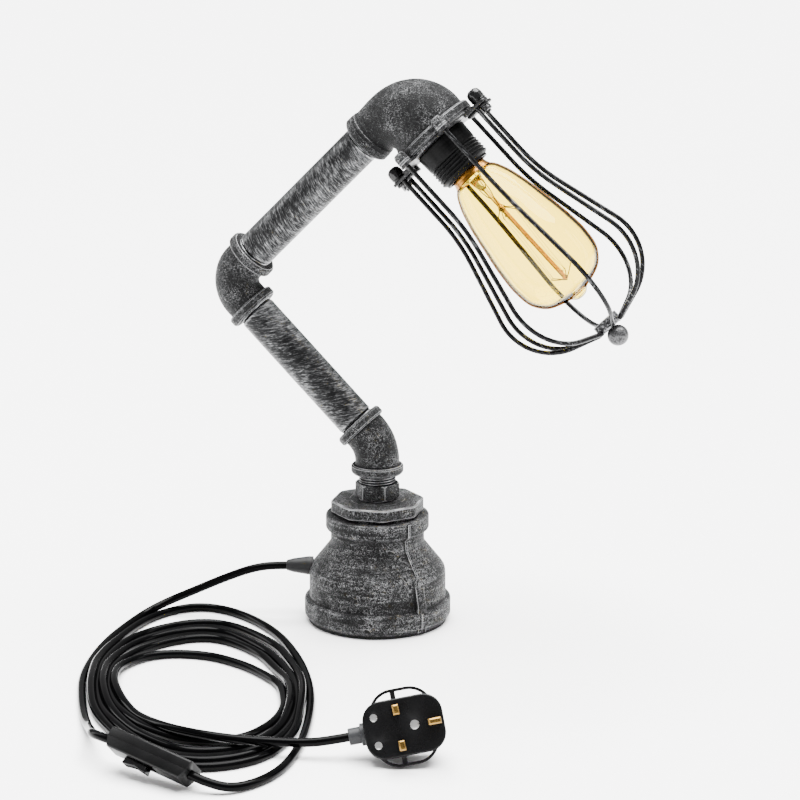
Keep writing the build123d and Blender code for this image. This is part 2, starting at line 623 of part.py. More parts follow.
def bulb_wires():
    """Lead wires from the pinch, and the fine hooks at both beads."""
    wires = []
    for x, y in ring_of(2, 3.0, 40):
        away = Vector(x, y, 0).normalized()
        low = away * 3.4 + Vector(0, 0, STEM_PINCH - 6.0)
        mid = away * 6.0 + Vector(0, 0, STEM_PINCH + 2.0)
        end = away * (STEM_ROD_R + 0.5) + Vector(0, 0, STEM_PINCH + 9.0)
        wires.append(tube_along(WIRE_SUPPORT_R, FilletPolyline(low + away, mid, end, radius=3.0)))
    for height, count, lean, start in ((STEM_HUB, 5, 9.0, 10), (STEM_END, 5, -6.0, 40)):
        for x, y in ring_of(count, 1.0, start):
            away = Vector(x, y, 0).normalized()
            root = away * (STEM_ROD_R + 1.2) + Vector(0, 0, height)
            tip = away * 9.5 + Vector(0, 0, height + lean)
            wires.append(tube_along(WIRE_SUPPORT_R, Line(root, tip)))
    return Compound(children=wires)


# ---------------------------------------------------------------- cage, along the head's axis
TAB_LEVEL = PLATE_BOTTOM + SEAT                  # the front ears lie one plate lower than the ring
BACK_TAB_LEVEL = TAB_LEVEL + PLATE_THICKNESS + SEAT
NUT_LEVEL = BACK_TAB_LEVEL + PLATE_THICKNESS + SEAT
KNOB_LEVEL = TAB_LEVEL - SEAT
STUD_ANGLES = (60, 120)
EAR_TURN = degrees(atan2(EAR_WIRE_OFFSET, STUD_AT))
FRONT_WIRES = (EAR_TURN, 60.0, 120.0, 180.0 - EAR_TURN)


def ear(side, low, y0, y1):
    """Ear of a clamp plate, reaching past the thumb screw on one side."""
    inner = PLATE_R + EASE
    end = slab(low, low + PLATE_THICKNESS, inner, EAR_REACH, y0, y1)
    end = fillet(end.edges().filter_by(Axis.Z).sort_by(Axis.X)[2:], 3.5)
    end -= Pos(THUMB_AT, 0, 0) * cylinder_between(THUMB_SHANK_R + FIT, low - 1, low + 9)
    return end if side > 0 else mirror(end, Plane.YZ)


def clamp_plate():
    """Front clamp plate: half a ring, two stud tabs and two lowered ears."""
    top, bottom = PLATE_TOP, PLATE_BOTTOM
    ring = cylinder_between(PLATE_R, top, bottom)
    for angle in STUD_ANGLES:
        tab = slab(top, bottom, 0, STUD_AT + TAB_WIDTH / 2, -TAB_WIDTH / 2, TAB_WIDTH / 2)
        tab = fillet(tab.edges().filter_by(Axis.Z).sort_by(Axis.X)[2:], TAB_WIDTH / 2 - 0.1)
        ring += Rot(0, 0, angle) * tab
    ring -= cylinder_between(HOLDER_NECK_R + EASE, top - 1, bottom + 1)
    ring = ring & slab(top, bottom, -EAR_REACH, EAR_REACH, PLATE_SPLIT, EAR_REACH)
    return ring


def cage_plate_front():
    plate = clamp_plate()
    low = TAB_LEVEL
    for side in (1, -1):
        plate += ear(side, low, -EAR_INNER, EAR_OUTER)
        x0, x1 = sorted((side * (PLATE_R - 4), side * (PLATE_R + 2)))
        plate += slab(PLATE_TOP, low + PLATE_THICKNESS, x0, x1, PLATE_SPLIT, EAR_OUTER)
    for angle in FRONT_WIRES:
        hole = Pos(STUD_AT / cos(radians(EAR_TURN)) if angle not in STUD_ANGLES else STUD_AT, 0, 0)
        plate -= Rot(0, 0, angle) * hole * cylinder_between(WIRE_R + FIT, PLATE_TOP - 5, NUT_LEVEL)
    return plate


def cage_plate_back():
    plate = mirror(clamp_plate(), Plane.XZ)
    low = BACK_TAB_LEVEL
    for side in (1, -1):
        plate += ear(side, low, -EAR_OUTER, EAR_INNER)
        x0, x1 = sorted((side * (PLATE_R - 4), side * (PLATE_R + 2)))
        plate += slab(PLATE_TOP, low + PLATE_THICKNESS, x0, x1, -EAR_OUTER, -EAR_INNER - EASE)
        plate += slab(low, low + PLATE_THICKNESS, x0, x1, -EAR_OUTER, EAR_INNER)
    for angle in FRONT_WIRES:
        hole = Pos(STUD_AT / cos(radians(EAR_TURN)) if angle not in STUD_ANGLES else STUD_AT, 0, 0)
        plate -= Rot(0, 0, -angle) * hole * cylinder_between(WIRE_R + FIT, PLATE_TOP - 5, NUT_LEVEL)
    return plate


def cage_wire(angle):
    """One wire: straight from its stud, out over the bulb, and round the belly to the hub."""
    studded = abs(angle) in STUD_ANGLES
    start = STUD_AT if studded else STUD_AT / cos(radians(EAR_TURN))
    top = PLATE_TOP - 5.0 if studded else TAB_LEVEL
    path = FilletPolyline((start, 0, top), (start, 0, WIRE_BEND_AT),
                          (WIRE_CORNER[0], 0, WIRE_CORNER[1]), (WIRE_END[0], 0, WIRE_END[1]),
                          radius=[WIRE_BEND_R, WIRE_BELLY_R])
    return Rot(0, 0, angle) * tube_along(WIRE_R, path)


def cage_wires(side):
    return Compound(children=[cage_wire(a * side) for a in FRONT_WIRES])


def dome_nuts():
    """Domed nuts on the four threaded wire ends above the clamp plates."""
    nuts = []
    for side in (1, -1):
        for angle in STUD_ANGLES:
            top = PLATE_TOP - SEAT
            nut = turned([(0, top - DOME_NUT_HEIGHT), (DOME_NUT_R, top - DOME_NUT_HEIGHT, DOME_NUT_R - 0.8),
                          (DOME_NUT_R, top), (0, top)])
            nut -= cylinder_between(WIRE_R + FIT, PLATE_TOP - 5.0 - SEAT, top + 1)
            nuts.append(Rot(0, 0, side * angle) * Pos(STUD_AT, 0, 0) * nut)
    return Compound(children=nuts)


def thumb_screw(side):
    """Domed black knob with its shank through both ears."""
    knob = turned([(0, KNOB_LEVEL - THUMB_KNOB_HEIGHT),
                   (THUMB_KNOB_R, KNOB_LEVEL - THUMB_KNOB_HEIGHT, 3.2),
                   (THUMB_KNOB_R, KNOB_LEVEL - 1.2), (THUMB_KNOB_R - 0.8, KNOB_LEVEL), (0, KNOB_LEVEL)])
    shank = cylinder_between(THUMB_SHANK_R, KNOB_LEVEL - 1, NUT_LEVEL + NUT_HEIGHT + 1.5)
    return Pos(side * THUMB_AT, 0, 0) * (knob + shank)


def clamp_nuts():
    """Hexagon nuts welded under the back ears."""
    nut = hex_prism(NUT_FLATS, NUT_LEVEL, NUT_LEVEL + NUT_HEIGHT)
    nut -= cylinder_between(THUMB_SHANK_R + FIT, NUT_LEVEL - 1, NUT_LEVEL + NUT_HEIGHT + 1)
    return Compound(children=[Pos(side * THUMB_AT, 0, 0) * nut for side in (1, -1)])


HUB_BOTTOM = WIRE_END[1] + 1.2


def cage_hub():
    """Shallow cup that gathers the wires, open towards the bulb."""
    return turned([
        (0, HUB_BOTTOM - HUB_WALL), (HUB_R - HUB_WALL, HUB_BOTTOM - HUB_WALL, 1.2),
        (HUB_R - HUB_WALL, HUB_TOP), (HUB_R, HUB_TOP), (HUB_R, HUB_BOTTOM, 1.6), (0, HUB_BOTTOM),
    ])


def cage_finial():
    """Ball on the end of the cage."""
    centre = HUB_BOTTOM + SEAT + FINIAL_R - 0.8
    ball = Pos(0, 0, centre) * Sphere(FINIAL_R)
    return ball & cylinder_between(FINIAL_R + 1, HUB_BOTTOM + SEAT, centre + FINIAL_R + 1)


# ---------------------------------------------------------------- flex inside the lamp
def flex_in_base():
    a = radians(EXIT_ANGLE)
    start = SHOULDER_R - BASE_WALL - RELIEF_INSIDE
    out = (start * cos(a), start * sin(a), EXIT_HEIGHT)
    path = FilletPolyline(out, (0, 0, EXIT_HEIGHT), (0, 0, SWIVEL_FACE + THREAD_SEAT - EASE),
                          radius=FLEX_TURN_BASE)
    return tube_along(FLEX_R, path)


def flex_in_lower_arm():
    a = radians(45)
    low = -LEG_45 + THREAD_SEAT
    far = LEG_45 + LOWER_PIPE_SHOWN + THREAD_SEAT - EASE
    path = FilletPolyline((0, 0, low), (0, 0, 0), (far * sin(a), 0, far * cos(a)), radius=FLEX_TURN_45)
    return FRAME_45.location * tube_along(FLEX_R, path)


def flex_in_upper_arm():
    low = -LEG_90 + THREAD_SEAT
    far = LEG_90 + UPPER_PIPE_SHOWN + THREAD_SEAT - EASE
    path = FilletPolyline((0, 0, low), (0, 0, 0), (far, 0, 0), radius=FLEX_TURN_90)
    return FRAME_90.location * tube_along(FLEX_R, path)


def flex_in_head():
    low = -HEAD_LEG_IN + THREAD_SEAT
    path = FilletPolyline((0, 0, low), (0, 0, 0), (HOLDER_FLOOR - 1.5, 0, 0), radius=FLEX_TURN_HEAD)
    return FRAME_BEND.location * tube_along(FLEX_R, path)


# ---------------------------------------------------------------- cord on the floor
def lead_path():
    """Cord from behind the wall of the base, through the strain relief, to the coil."""
    a = radians(EXIT_ANGLE)
    start = SHOULDER_R - BASE_WALL - RELIEF_INSIDE
    out, bend = [(d * cos(a), d * sin(a), EXIT_HEIGHT) for d in (start, LEAD_STRAIGHT)]
    return FilletPolyline(out, bend, *LEAD_POINTS, radius=LEAD_RADII)


def coil_spline(reaches):
    n = len(reaches)
    places = []
    for i, reach in enumerate(reaches):
        a = radians(COIL_TURN + 360 * i / n)
        places.append((COIL_CENTRE[0] + reach * cos(a), COIL_CENTRE[1] + reach * sin(a)))
    return make_face(Spline(*places, periodic=True))


def cord_coil():
    """The laid-up turns of the cord as one flat ring, open in the middle."""
    ring = extrude(coil_spline(COIL_OUTER), COIL_HEIGHT) - extrude(coil_spline(COIL_INNER), COIL_HEIGHT)
    rims = ring.edges().filter_by_position(Axis.Z, COIL_HEIGHT - 0.01, COIL_HEIGHT + 0.01)
    ring = Pos(0, 0, FLOOR_PLAY) * chamfer(rims, COIL_ROUND)
    room = switch_box(EASE, SWITCH_LENGTH + 2 * SWITCH_STUB)
    ring -= switch_frame().location * room
    for path in (lead_path(), plug_lead_path()):
        ring -= tube_along(FLEX_R, path)
    return ring


def plug_lead_path():
    """Cord from the plug's sleeve back into the coil."""
    frame = plug_frame()
    end = -PLUG_LENGTH / 2 + 1.0
    far = -PLUG_LENGTH / 2 - SLEEVE_LENGTH - 14.0
    inside, bend = (frame.from_local_coords(Vector(x, 0, -CORD_DEPTH)) for x in (end, far))
    return FilletPolyline(inside, bend, PLUG_LEAD_END, radius=PLUG_LEAD_BEND)


# ---------------------------------------------------------------- switch on the cord
def switch_frame():
    """Middle of the switch: X along the cord, Z out of the rocker's face."""
    h, t, lean = radians(SWITCH_HEADING), radians(SWITCH_TILT), radians(SWITCH_LEAN)
    along = Vector(cos(h) * cos(t), sin(h) * cos(t), -sin(t))
    front = Vector(sin(h), -cos(h), 0)
    up = along.cross(front) * -1
    face = front * cos(lean) - up * sin(lean)
    side = front * sin(lean) + up * cos(lean)
    corners = [along * (SWITCH_LENGTH / 2) + face * (SWITCH_DEEP / 2 * i) + side * (SWITCH_WIDE / 2 * j)
               for i in (-1, 1) for j in (-1, 1)]
    rise = FLOOR_PLAY - min(c.Z for c in corners)
    return Plane(Vector(*SWITCH_PLACE, rise), x_dir=along, z_dir=face)


def switch_box(grow, length):
    return Box(length, SWITCH_WIDE + 2 * grow, SWITCH_DEEP + 2 * grow)


def switch_body():
    """Outside of the switch, with its sloped ends and rounded long edges."""
    half, deep, drop = SWITCH_LENGTH / 2, SWITCH_DEEP / 2, SWITCH_END_DROP
    side = make_face(Polyline((-half, -deep), (half, -deep), (half, 0), (half - drop, deep),
                              (drop - half, deep), (-half, 0), close=True))
    body = extrude(Plane.XZ * side, SWITCH_WIDE / 2, both=True)
    body = fillet(body.edges().filter_by(Axis.X), SWITCH_ROUND)
    return body


def switch_hollow():
    w = 2 * SWITCH_WALL
    hollow = Box(SWITCH_LENGTH - 2 * SWITCH_END_DROP - w, SWITCH_WIDE - w, SWITCH_DEEP - w)
    cord = Rot(0, 90, 0) * cylinder_between(FLEX_R + FIT, -SWITCH_LENGTH, SWITCH_LENGTH)
    return hollow + cord


def switch_base():
    half = SWITCH_LENGTH
    lower = slab(-SWITCH_DEEP, -SEAT / 2, -half, half, -SWITCH_WIDE, SWITCH_WIDE)
    body = (switch_body() & lower) - switch_hollow()
    for x in SWITCH_SCREWS_AT:
        body -= Pos(x, 0, 0) * cylinder_between(SWITCH_SCREW_R + FIT, -SWITCH_DEEP, 0)
    return body


def switch_cover():
    half = SWITCH_LENGTH
    upper = slab(SEAT / 2, SWITCH_DEEP, -half, half, -SWITCH_WIDE, SWITCH_WIDE)
    window = Pos(ROCKER_AT, 0, SWITCH_DEEP / 2) * Box(ROCKER_LENGTH + 2, ROCKER_WIDTH + 1, SWITCH_DEEP)
    return (switch_body() & upper) - switch_hollow() - window


def switch_rocker():
    """Rocker about its own pivot, at mid travel; Y is the pivot."""
    half, top = ROCKER_LENGTH / 2, ROCKER_DEPTH + ROCKER_PROUD
    side = make_face(Polyline((-half + 1.2, -1.0), (half - 1.2, -1.0), (half, top), (0, top - 1.3),
                              (-half, top), close=True))
    return extrude(Plane.XZ * side, ROCKER_WIDTH / 2, both=True)


def rocker_frame():
    origin = switch_frame().from_local_coords(Vector(ROCKER_AT, 0, SWITCH_DEEP / 2 - ROCKER_DEPTH))
    return Plane(origin, x_dir=switch_frame().x_dir, z_dir=switch_frame().z_dir)


def switch_screws():
    """Two cover screws sunk in the back of the switch."""
    screws = []
    for x in SWITCH_SCREWS_AT:
        low = -SWITCH_DEEP / 2
        screws.append(Pos(x, 0, 0) * cylinder_between(SWITCH_SCREW_R, low + 0.2, low + SWITCH_WALL))
    return Compound(children=screws)


def switch_contacts():
    """Two contact blocks under the ends of the rocker."""
    low = -SWITCH_DEEP / 2 + SWITCH_WALL + FIT
    block = slab(low, low + 2.2, -3, 3, -4, 4)
    return Compound(children=[Pos(ROCKER_AT + x, 0, 0) * block for x in (-7, 7)])


def switch_flex():
    """Cord ends gripped at both ends of the switch."""
    half = SWITCH_LENGTH / 2
    ends = []
    for side in (0, 180):
        stub = Rot(0, 90, 0) * cylinder_between(FLEX_R, half - 8, half + SWITCH_STUB)
        ends.append(Rot(0, 0, side) * stub)
    return Compound(children=ends)


# ---------------------------------------------------------------- plug
def plug_frame():
    """Middle of the plug's face: X from cord to earth pin, Z out of the face."""
    h, rise, roll = radians(PLUG_HEADING), radians(PLUG_FACE_RISE), radians(PLUG_ROLL)
    along = Vector(cos(h), sin(h), 0)
    face = Vector(sin(h) * cos(rise), -cos(h) * cos(rise), sin(rise))
    up = face.cross(along)
    return Plane(Vector(*PLUG_PLACE), x_dir=along * cos(roll) + up * sin(roll), z_dir=face)


def rounded_plate(length, width, corner, low, high):
    return Pos(0, 0, low) * extrude(RectangleRounded(length, width, corner), high - low)


def finger_grips():
    """Two see-through loops beside the face, each with a bar across."""
    low = -GRIP_THICKNESS - 1.0
    loop = rounded_plate(GRIP_LENGTH, GRIP_SPAN, GRIP_CORNER, low, -1.0)
    rim = 2 * GRIP_RIM
    loop -= rounded_plate(GRIP_LENGTH - rim, GRIP_SPAN - rim, GRIP_CORNER - GRIP_RIM, low - 1, 1)
    bar = slab(low, -1.0, GRIP_BAR_AT - GRIP_BAR / 2, GRIP_BAR_AT + GRIP_BAR / 2,
               -GRIP_SPAN / 2 + 1, GRIP_SPAN / 2 - 1)
    inner = slab(low, -1.0, -GRIP_LENGTH, GRIP_LENGTH, -PLUG_FACE_WIDTH / 2 + 1, PLUG_FACE_WIDTH / 2 - 1)
    return (loop + bar) - inner


def pin_places():
    """Middle and section of each pin: line, neutral, earth."""
    x, y = PIN_LINE, PIN_PITCH / 2
    return [(x, y, PIN_SMALL), (x, -y, PIN_SMALL), (x + EARTH_PITCH, 0, PIN_EARTH)]


def plug_base():
    body = rounded_plate(PLUG_LENGTH, PLUG_FACE_WIDTH, PLUG_CORNER, -PLUG_FACE_THICKNESS, 0)
    body = fillet(body.edges().group_by(Axis.Z)[-1], 1.2) + finger_grips()
    w = 2 * PLUG_WALL
    body -= rounded_plate(PLUG_LENGTH - w, PLUG_FACE_WIDTH - w, PLUG_CORNER - PLUG_WALL,
                          -PLUG_FACE_THICKNESS - 1, -PLUG_WALL)
    for x, y, (a, b, _) in pin_places():
        body -= Pos(x, y, 0) * Box(a + 2 * FIT, b + 2 * FIT, 9)
    for x, y, r in screw_places():
        body -= Pos(x, y, 0) * cylinder_between(r + FIT, -PLUG_FACE_THICKNESS, 1)
    return body


def screw_places():
    gx, gy = GRIP_SCREW_AT
    return [(*PLUG_SCREW_AT, PLUG_SCREW_R), (gx, gy, GRIP_SCREW_R), (gx, -gy, GRIP_SCREW_R)]


def plug_cover():
    """Tapered back of the plug, hollow, with the cord's hole in its end."""
    top, low = -PLUG_FACE_THICKNESS - SEAT, -PLUG_DEPTH

    def shell(inset):
        n = 2 * inset
        wide = Pos(0, 0, top) * RectangleRounded(PLUG_LENGTH - n, PLUG_FACE_WIDTH - n, PLUG_CORNER - inset)
        back = Pos(0, 0, low + inset) * RectangleRounded(PLUG_BACK_LENGTH - n, PLUG_BACK_WIDTH - n,
                                                         PLUG_CORNER - 3 - inset)
        return loft([wide, back])

    body = fillet(shell(0).edges().group_by(Axis.Z)[0], 1.6) - shell(PLUG_WALL)
    sleeve = Rot(0, 90, 0) * cylinder_between(SLEEVE_R + FIT, -PLUG_LENGTH, -PLUG_LENGTH / 2 + 8)
    return body - Pos(0, 0, -CORD_DEPTH) * sleeve


def plug_pins():
    pins = []
    for x, y, (a, b, length) in pin_places():
        pin = Pos(x, y, -PIN_ROOT) * Box(a, b, length + PIN_ROOT, align=(Align.CENTER, Align.CENTER, Align.MIN))
        pin = chamfer(pin.edges().group_by(Axis.Z)[-1], 0.9)
        if length == PIN_SMALL[2]:
            wall = 2 * (PIN_SLEEVE_WALL + FIT)
            neck = Pos(x, y, PIN_SLEEVE / 2) * (Box(a + 1, b + 1, PIN_SLEEVE)
                                                - Box(a - wall, b - wall, PIN_SLEEVE))
            pin -= neck
        pins.append(pin)
    return Compound(children=pins)


def pin_sleeves():
    """Moulded sleeves round the roots of the two small pins."""
    sleeves = []
    for x, y, (a, b, _) in pin_places()[:2]:
        wall = 2 * PIN_SLEEVE_WALL
        ring = Box(a, b, PIN_SLEEVE - 2 * SEAT) - Box(a - wall, b - wall, PIN_SLEEVE)
        sleeves.append(Pos(x, y, PIN_SLEEVE / 2) * ring)
    return Compound(children=sleeves)


def plug_screws():
    """Slotted heads in the face: one for the cover, two for the cord grip."""
    screws = []
    for x, y, r in screw_places():
        head = cylinder_between(r, -2.6, -0.5) + cylinder_between(r * 0.55, -PLUG_FACE_THICKNESS + 1, -2.0)
        head -= slab(-1.2, 0, -r, r, -0.4, 0.4)
        screws.append(Pos(x, y, 0) * head)
    return Compound(children=screws)


def plug_sleeve():
    """Grey moulded sleeve where the cord enters, with a collar against the plug."""
    end = -PLUG_LENGTH / 2
    sleeve = turned([
        (FLEX_R + SEAT, end - SLEEVE_LENGTH), (SLEEVE_R, end - SLEEVE_LENGTH, 0.8), (SLEEVE_R, end - 2.6),
        (SLEEVE_COLLAR_R, end - 2.2), (SLEEVE_COLLAR_R, end - SEAT), (SLEEVE_R, end - SEAT),
        (SLEEVE_R, end + SLEEVE_INSIDE), (FLEX_R + SEAT, end + SLEEVE_INSIDE),
    ])
    return Pos(0, 0, -CORD_DEPTH) * Rot(0, 90, 0) * sleeve


def plug_fuse():
    """Cartridge fuse beside the line pin."""
    fuse = Rot(0, 90, 0) * cylinder_between(FUSE_R, -FUSE_LENGTH / 2, FUSE_LENGTH / 2)
    return Pos(4.0, 5.5, -PLUG_DEPTH + PLUG_WALL + FUSE_R + 1.0) * fuse


def plug_cord_grip():
    """Fibre bar across the cord behind the two grip screws."""
    x, y = GRIP_SCREW_AT
    bar = slab(-PLUG_FACE_THICKNESS - 1.0, -PLUG_FACE_THICKNESS + 0.8, x - 2.5, x + 2.5, -y - 2, y + 2)
    return bar


# ---------------------------------------------------------------- write the sub-parts
def write_base():
    save("foot_pad", foot_pad())
    save("base_reducer", base_reducer())
    save("reducing_bushing", reducing_bushing())
    save("hex_nipple", hex_nipple())
    save("earth_screw", earth_screw())
    save("strain_relief", strain_relief())
    save("flex_in_base", flex_in_base())


def write_arms():
    lower_start = Pos(0, 0, LEG_45)
    save("elbow_45", FRAME_45.location * elbow(LEG_45, BEND_45_R, 45))
    save("lower_pipe", FRAME_45.location * Rot(0, 45, 0) * lower_start * pipe(LOWER_PIPE_SHOWN))
    save("flex_in_lower_arm", flex_in_lower_arm())
    save("elbow_90", FRAME_90.location * elbow(LEG_90, BEND_90_R, 90))
    save("upper_pipe", FRAME_90.location * Rot(0, 90, 0) * Pos(0, 0, LEG_90) * pipe(UPPER_PIPE_SHOWN))
    save("flex_in_upper_arm", flex_in_upper_arm())


def write_head():
    save("head_elbow", FRAME_BEND.location * head_elbow())
    save("flex_in_head", flex_in_head())
    head = FRAME_HEAD.location
    pieces = {
        "holder_disc": holder_disc(), "holder_stem": holder_stem(), "holder_locknut": holder_locknut(),
        "lamp_holder": lamp_holder(), "screw_shell": screw_shell(), "centre_contact": centre_contact(),
        "bulb_cap": bulb_cap(), "bulb_tip": bulb_tip(), "bulb_glass": bulb_glass(),
        "bulb_stem": bulb_stem(), "bulb_wires": bulb_wires(),
        "cage_plate_front": cage_plate_front(), "cage_plate_back": cage_plate_back(),
        "cage_wires_front": cage_wires(1), "cage_wires_back": cage_wires(-1),
        "cage_dome_nuts": dome_nuts(), "cage_clamp_nuts": clamp_nuts(),
        "cage_hub": cage_hub(), "cage_finial": cage_finial(),
        "thumb_screw_left": thumb_screw(-1), "thumb_screw_right": thumb_screw(1),
    }
    for node, shape in pieces.items():
        save(node, head * shape)


def write_cord():
    for node, path in (("cord_tube_lamp", lead_path()), ("cord_tube_plug", plug_lead_path())):
        save(node, tube_along(FLEX_R, path))
        bends = [round(edge.radius, 1) for edge in path.edges() if edge.geom_type == GeomType.CIRCLE]
        print(node, "length", round(path.length, 1), "bend radii", bends)
    save("cord_coil", cord_coil())
    switch = switch_frame().location
    save("switch_base", switch * switch_base())
    save("switch_cover", switch * switch_cover())
    save("switch_screws", switch * switch_screws())
    save("switch_contacts", switch * switch_contacts())
    save("switch_flex", switch * switch_flex())
    save("switch_rocker", rocker_frame().location * Rot(0, -ROCKER_TRAVEL / 2, 0) * switch_rocker())
    plug = plug_frame().location
    pieces = {
        "plug_base": plug_base(), "plug_cover": plug_cover(), "plug_pins": plug_pins(),
        "plug_pin_sleeves": pin_sleeves(), "plug_screws": plug_screws(), "plug_sleeve": plug_sleeve(),
        "plug_fuse": plug_fuse(), "plug_cord_grip": plug_cord_grip(),
    }
    for node, shape in pieces.items():
        save(node, plug * shape)


write_base()
write_arms()
write_head()
write_cord()
for name, frame in (("switch pivot", rocker_frame()), ("plug face", plug_frame())):
    print(name, [round(v, 3) for v in (*frame.origin, *frame.x_dir, *frame.y_dir, *frame.z_dir)])
for name, centre in (("45", CENTRE_45), ("90", CENTRE_90), ("head", CENTRE_HEAD)):
    print("elbow centre", name, [round(v, 3) for v in centre])
print("thumb screws", THUMB_AT, NUT_LEVEL)
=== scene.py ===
import json
from math import acos, atan2, cos, hypot, pi, radians, sin, sqrt, tan

import bmesh
import bpy
import numpy as np
from mathutils import Matrix, Vector, noise


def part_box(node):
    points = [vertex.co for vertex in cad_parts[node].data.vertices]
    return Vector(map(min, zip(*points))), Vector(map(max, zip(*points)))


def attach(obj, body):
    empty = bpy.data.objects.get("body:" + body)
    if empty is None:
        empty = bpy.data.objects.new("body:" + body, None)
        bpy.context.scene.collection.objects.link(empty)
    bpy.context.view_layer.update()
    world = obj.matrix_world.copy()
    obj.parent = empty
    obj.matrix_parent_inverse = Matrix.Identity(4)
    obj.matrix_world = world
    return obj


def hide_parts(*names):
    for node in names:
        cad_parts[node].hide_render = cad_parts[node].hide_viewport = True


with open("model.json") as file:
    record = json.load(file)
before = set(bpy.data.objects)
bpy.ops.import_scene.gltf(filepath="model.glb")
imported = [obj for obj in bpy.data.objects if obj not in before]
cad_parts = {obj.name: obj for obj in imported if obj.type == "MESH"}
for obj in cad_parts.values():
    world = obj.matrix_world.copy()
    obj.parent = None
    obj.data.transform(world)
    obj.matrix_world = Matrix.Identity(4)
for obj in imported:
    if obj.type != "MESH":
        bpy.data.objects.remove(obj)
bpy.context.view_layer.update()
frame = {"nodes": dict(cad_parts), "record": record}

MM = 0.001  # a millimetre in metres
NODES = frame["nodes"]

# ---- sizes in millimetres, angles in degrees
S = sqrt(0.5)
CENTRE_45 = Vector((0, 0, 128.7))  # where an elbow's two legs meet
CENTRE_90 = Vector((-111.794, 0, 240.494))
CENTRE_HEAD = Vector((19.870, 0, 372.157))
DIR_LOWER = Vector((-S, 0, S))  # up the lower pipe, up the upper pipe, out of the head
DIR_UPPER = Vector((S, 0, S))
DIR_HEAD = Vector((S, 0, -S))
LEG_45, BEND_45 = 20.9, 30.0  # elbow's centre to its face, radius of its middle line
LEG_90, BEND_90 = 29.9, 18.4
LOWER_PIPE, UPPER_PIPE = 107.3, 116.0  # length of pipe between two fittings
PIPE_HIDDEN = 12.0  # length of pipe inside each fitting
PIPE_R, END_R, BORE_R = 13.45, 13.2, 10.8  # pipe's outside, its threaded end, its bore
THREAD_R, THREAD_PITCH = 13.22, 1.814  # crest and pitch of the 3/4 inch thread
THREAD_ROW = 0.3  # distance between a thread's rows
SOCKET_R, SOCKET_DEPTH = 13.28, 12.1  # counterbore in the end of a fitting
RIB_ANGLE = -34.6  # seam and rib of the base, the second pair is opposite
OCT_TURN, HEX_TURN = 26.0, 8.0  # bearing of a corner of the bushing and of the nipple
STUD_REACH, SCREW_REACH = 36.5, 39.8  # from the head's axis to the studs and the thumb screws
EXIT, EXIT_Z = radians(195.0), 38.0  # where the flex leaves the base: bearing in radians, height


def place(origin, x, z):
    """Matrix of a local frame from its origin in mm and its x and z axes."""
    x, z = Vector(x).normalized(), Vector(z).normalized()
    m = Matrix((x, z.cross(x), z)).transposed().to_4x4()
    m.translation = Vector(origin) * MM
    return m


WORLD = Matrix.Identity(4)
AT_45 = place(CENTRE_45, (-1, 0, 0), (0, 0, 1))
AT_90 = place(CENTRE_90, DIR_UPPER, DIR_LOWER)
AT_BEND = place(CENTRE_HEAD, DIR_HEAD, DIR_UPPER)
AT_HEAD = place(CENTRE_HEAD, DIR_UPPER, DIR_HEAD)
AT_LOWER = place(CENTRE_45 + DIR_LOWER * LEG_45, (0, 1, 0), DIR_LOWER)
AT_UPPER = place(CENTRE_90 + DIR_UPPER * LEG_90, (0, 1, 0), DIR_UPPER)


# ---- mesh helpers
def mark_wear_and_shading(me):
    """Point attribute from the surface's bend: edge wear above 0 on edges, painted shade below 0 in
    corners.
    """
    n, m = len(me.vertices), len(me.edges)
    co, no, ed = np.empty(n * 3), np.empty(n * 3), np.empty(m * 2, dtype=np.int32)
    me.vertices.foreach_get("co", co)
    me.vertices.foreach_get("normal", no)
    me.edges.foreach_get("vertices", ed)
    co, no, ed = co.reshape(-1, 3), no.reshape(-1, 3), ed.reshape(-1, 2)
    a, b = ed[:, 0], ed[:, 1]
    d = co[b] - co[a]
    l2 = np.maximum((d * d).sum(1), 1e-10)
    bend, count = np.zeros(n), np.zeros(n)
    for i, s in ((a, -2.0), (b, 2.0)):
        np.add.at(bend, i, s * (no[i] * d).sum(1) / l2)
        np.add.at(count, i, 1.0)
    count = np.maximum(count, 1.0)
    bend = np.clip(bend / count * MM, -1.0, 1.0)
    total = bend * count  # smoothed once over the neighbours
    np.add.at(total, a, bend[b])
    np.add.at(total, b, bend[a])
    bend = total / (2 * count)
    old = me.attributes.get("wear_and_shading")
    if old:
        extra = np.empty(n)
        old.data.foreach_get("value", extra)
        bend = bend + extra
    else:
        old = me.attributes.new("wear_and_shading", "FLOAT", "POINT")
    old.data.foreach_set("value", np.clip(bend, -1.5, 1.5))


def linked(name, data):
    """New object, linked to the scene."""
    ob = bpy.data.objects.new(name, data)
    bpy.context.scene.collection.objects.link(ob)
    return ob


def wear_and_shading_points(ob):
    """Place of every vertex in mm, with its entry in the attribute of edge wear and painted light and
    shade.
    """
    for v, entry in zip(ob.data.vertices, ob.data.attributes["wear_and_shading"].data):
        yield v.co.x / MM, v.co.y / MM, v.co.z / MM, entry


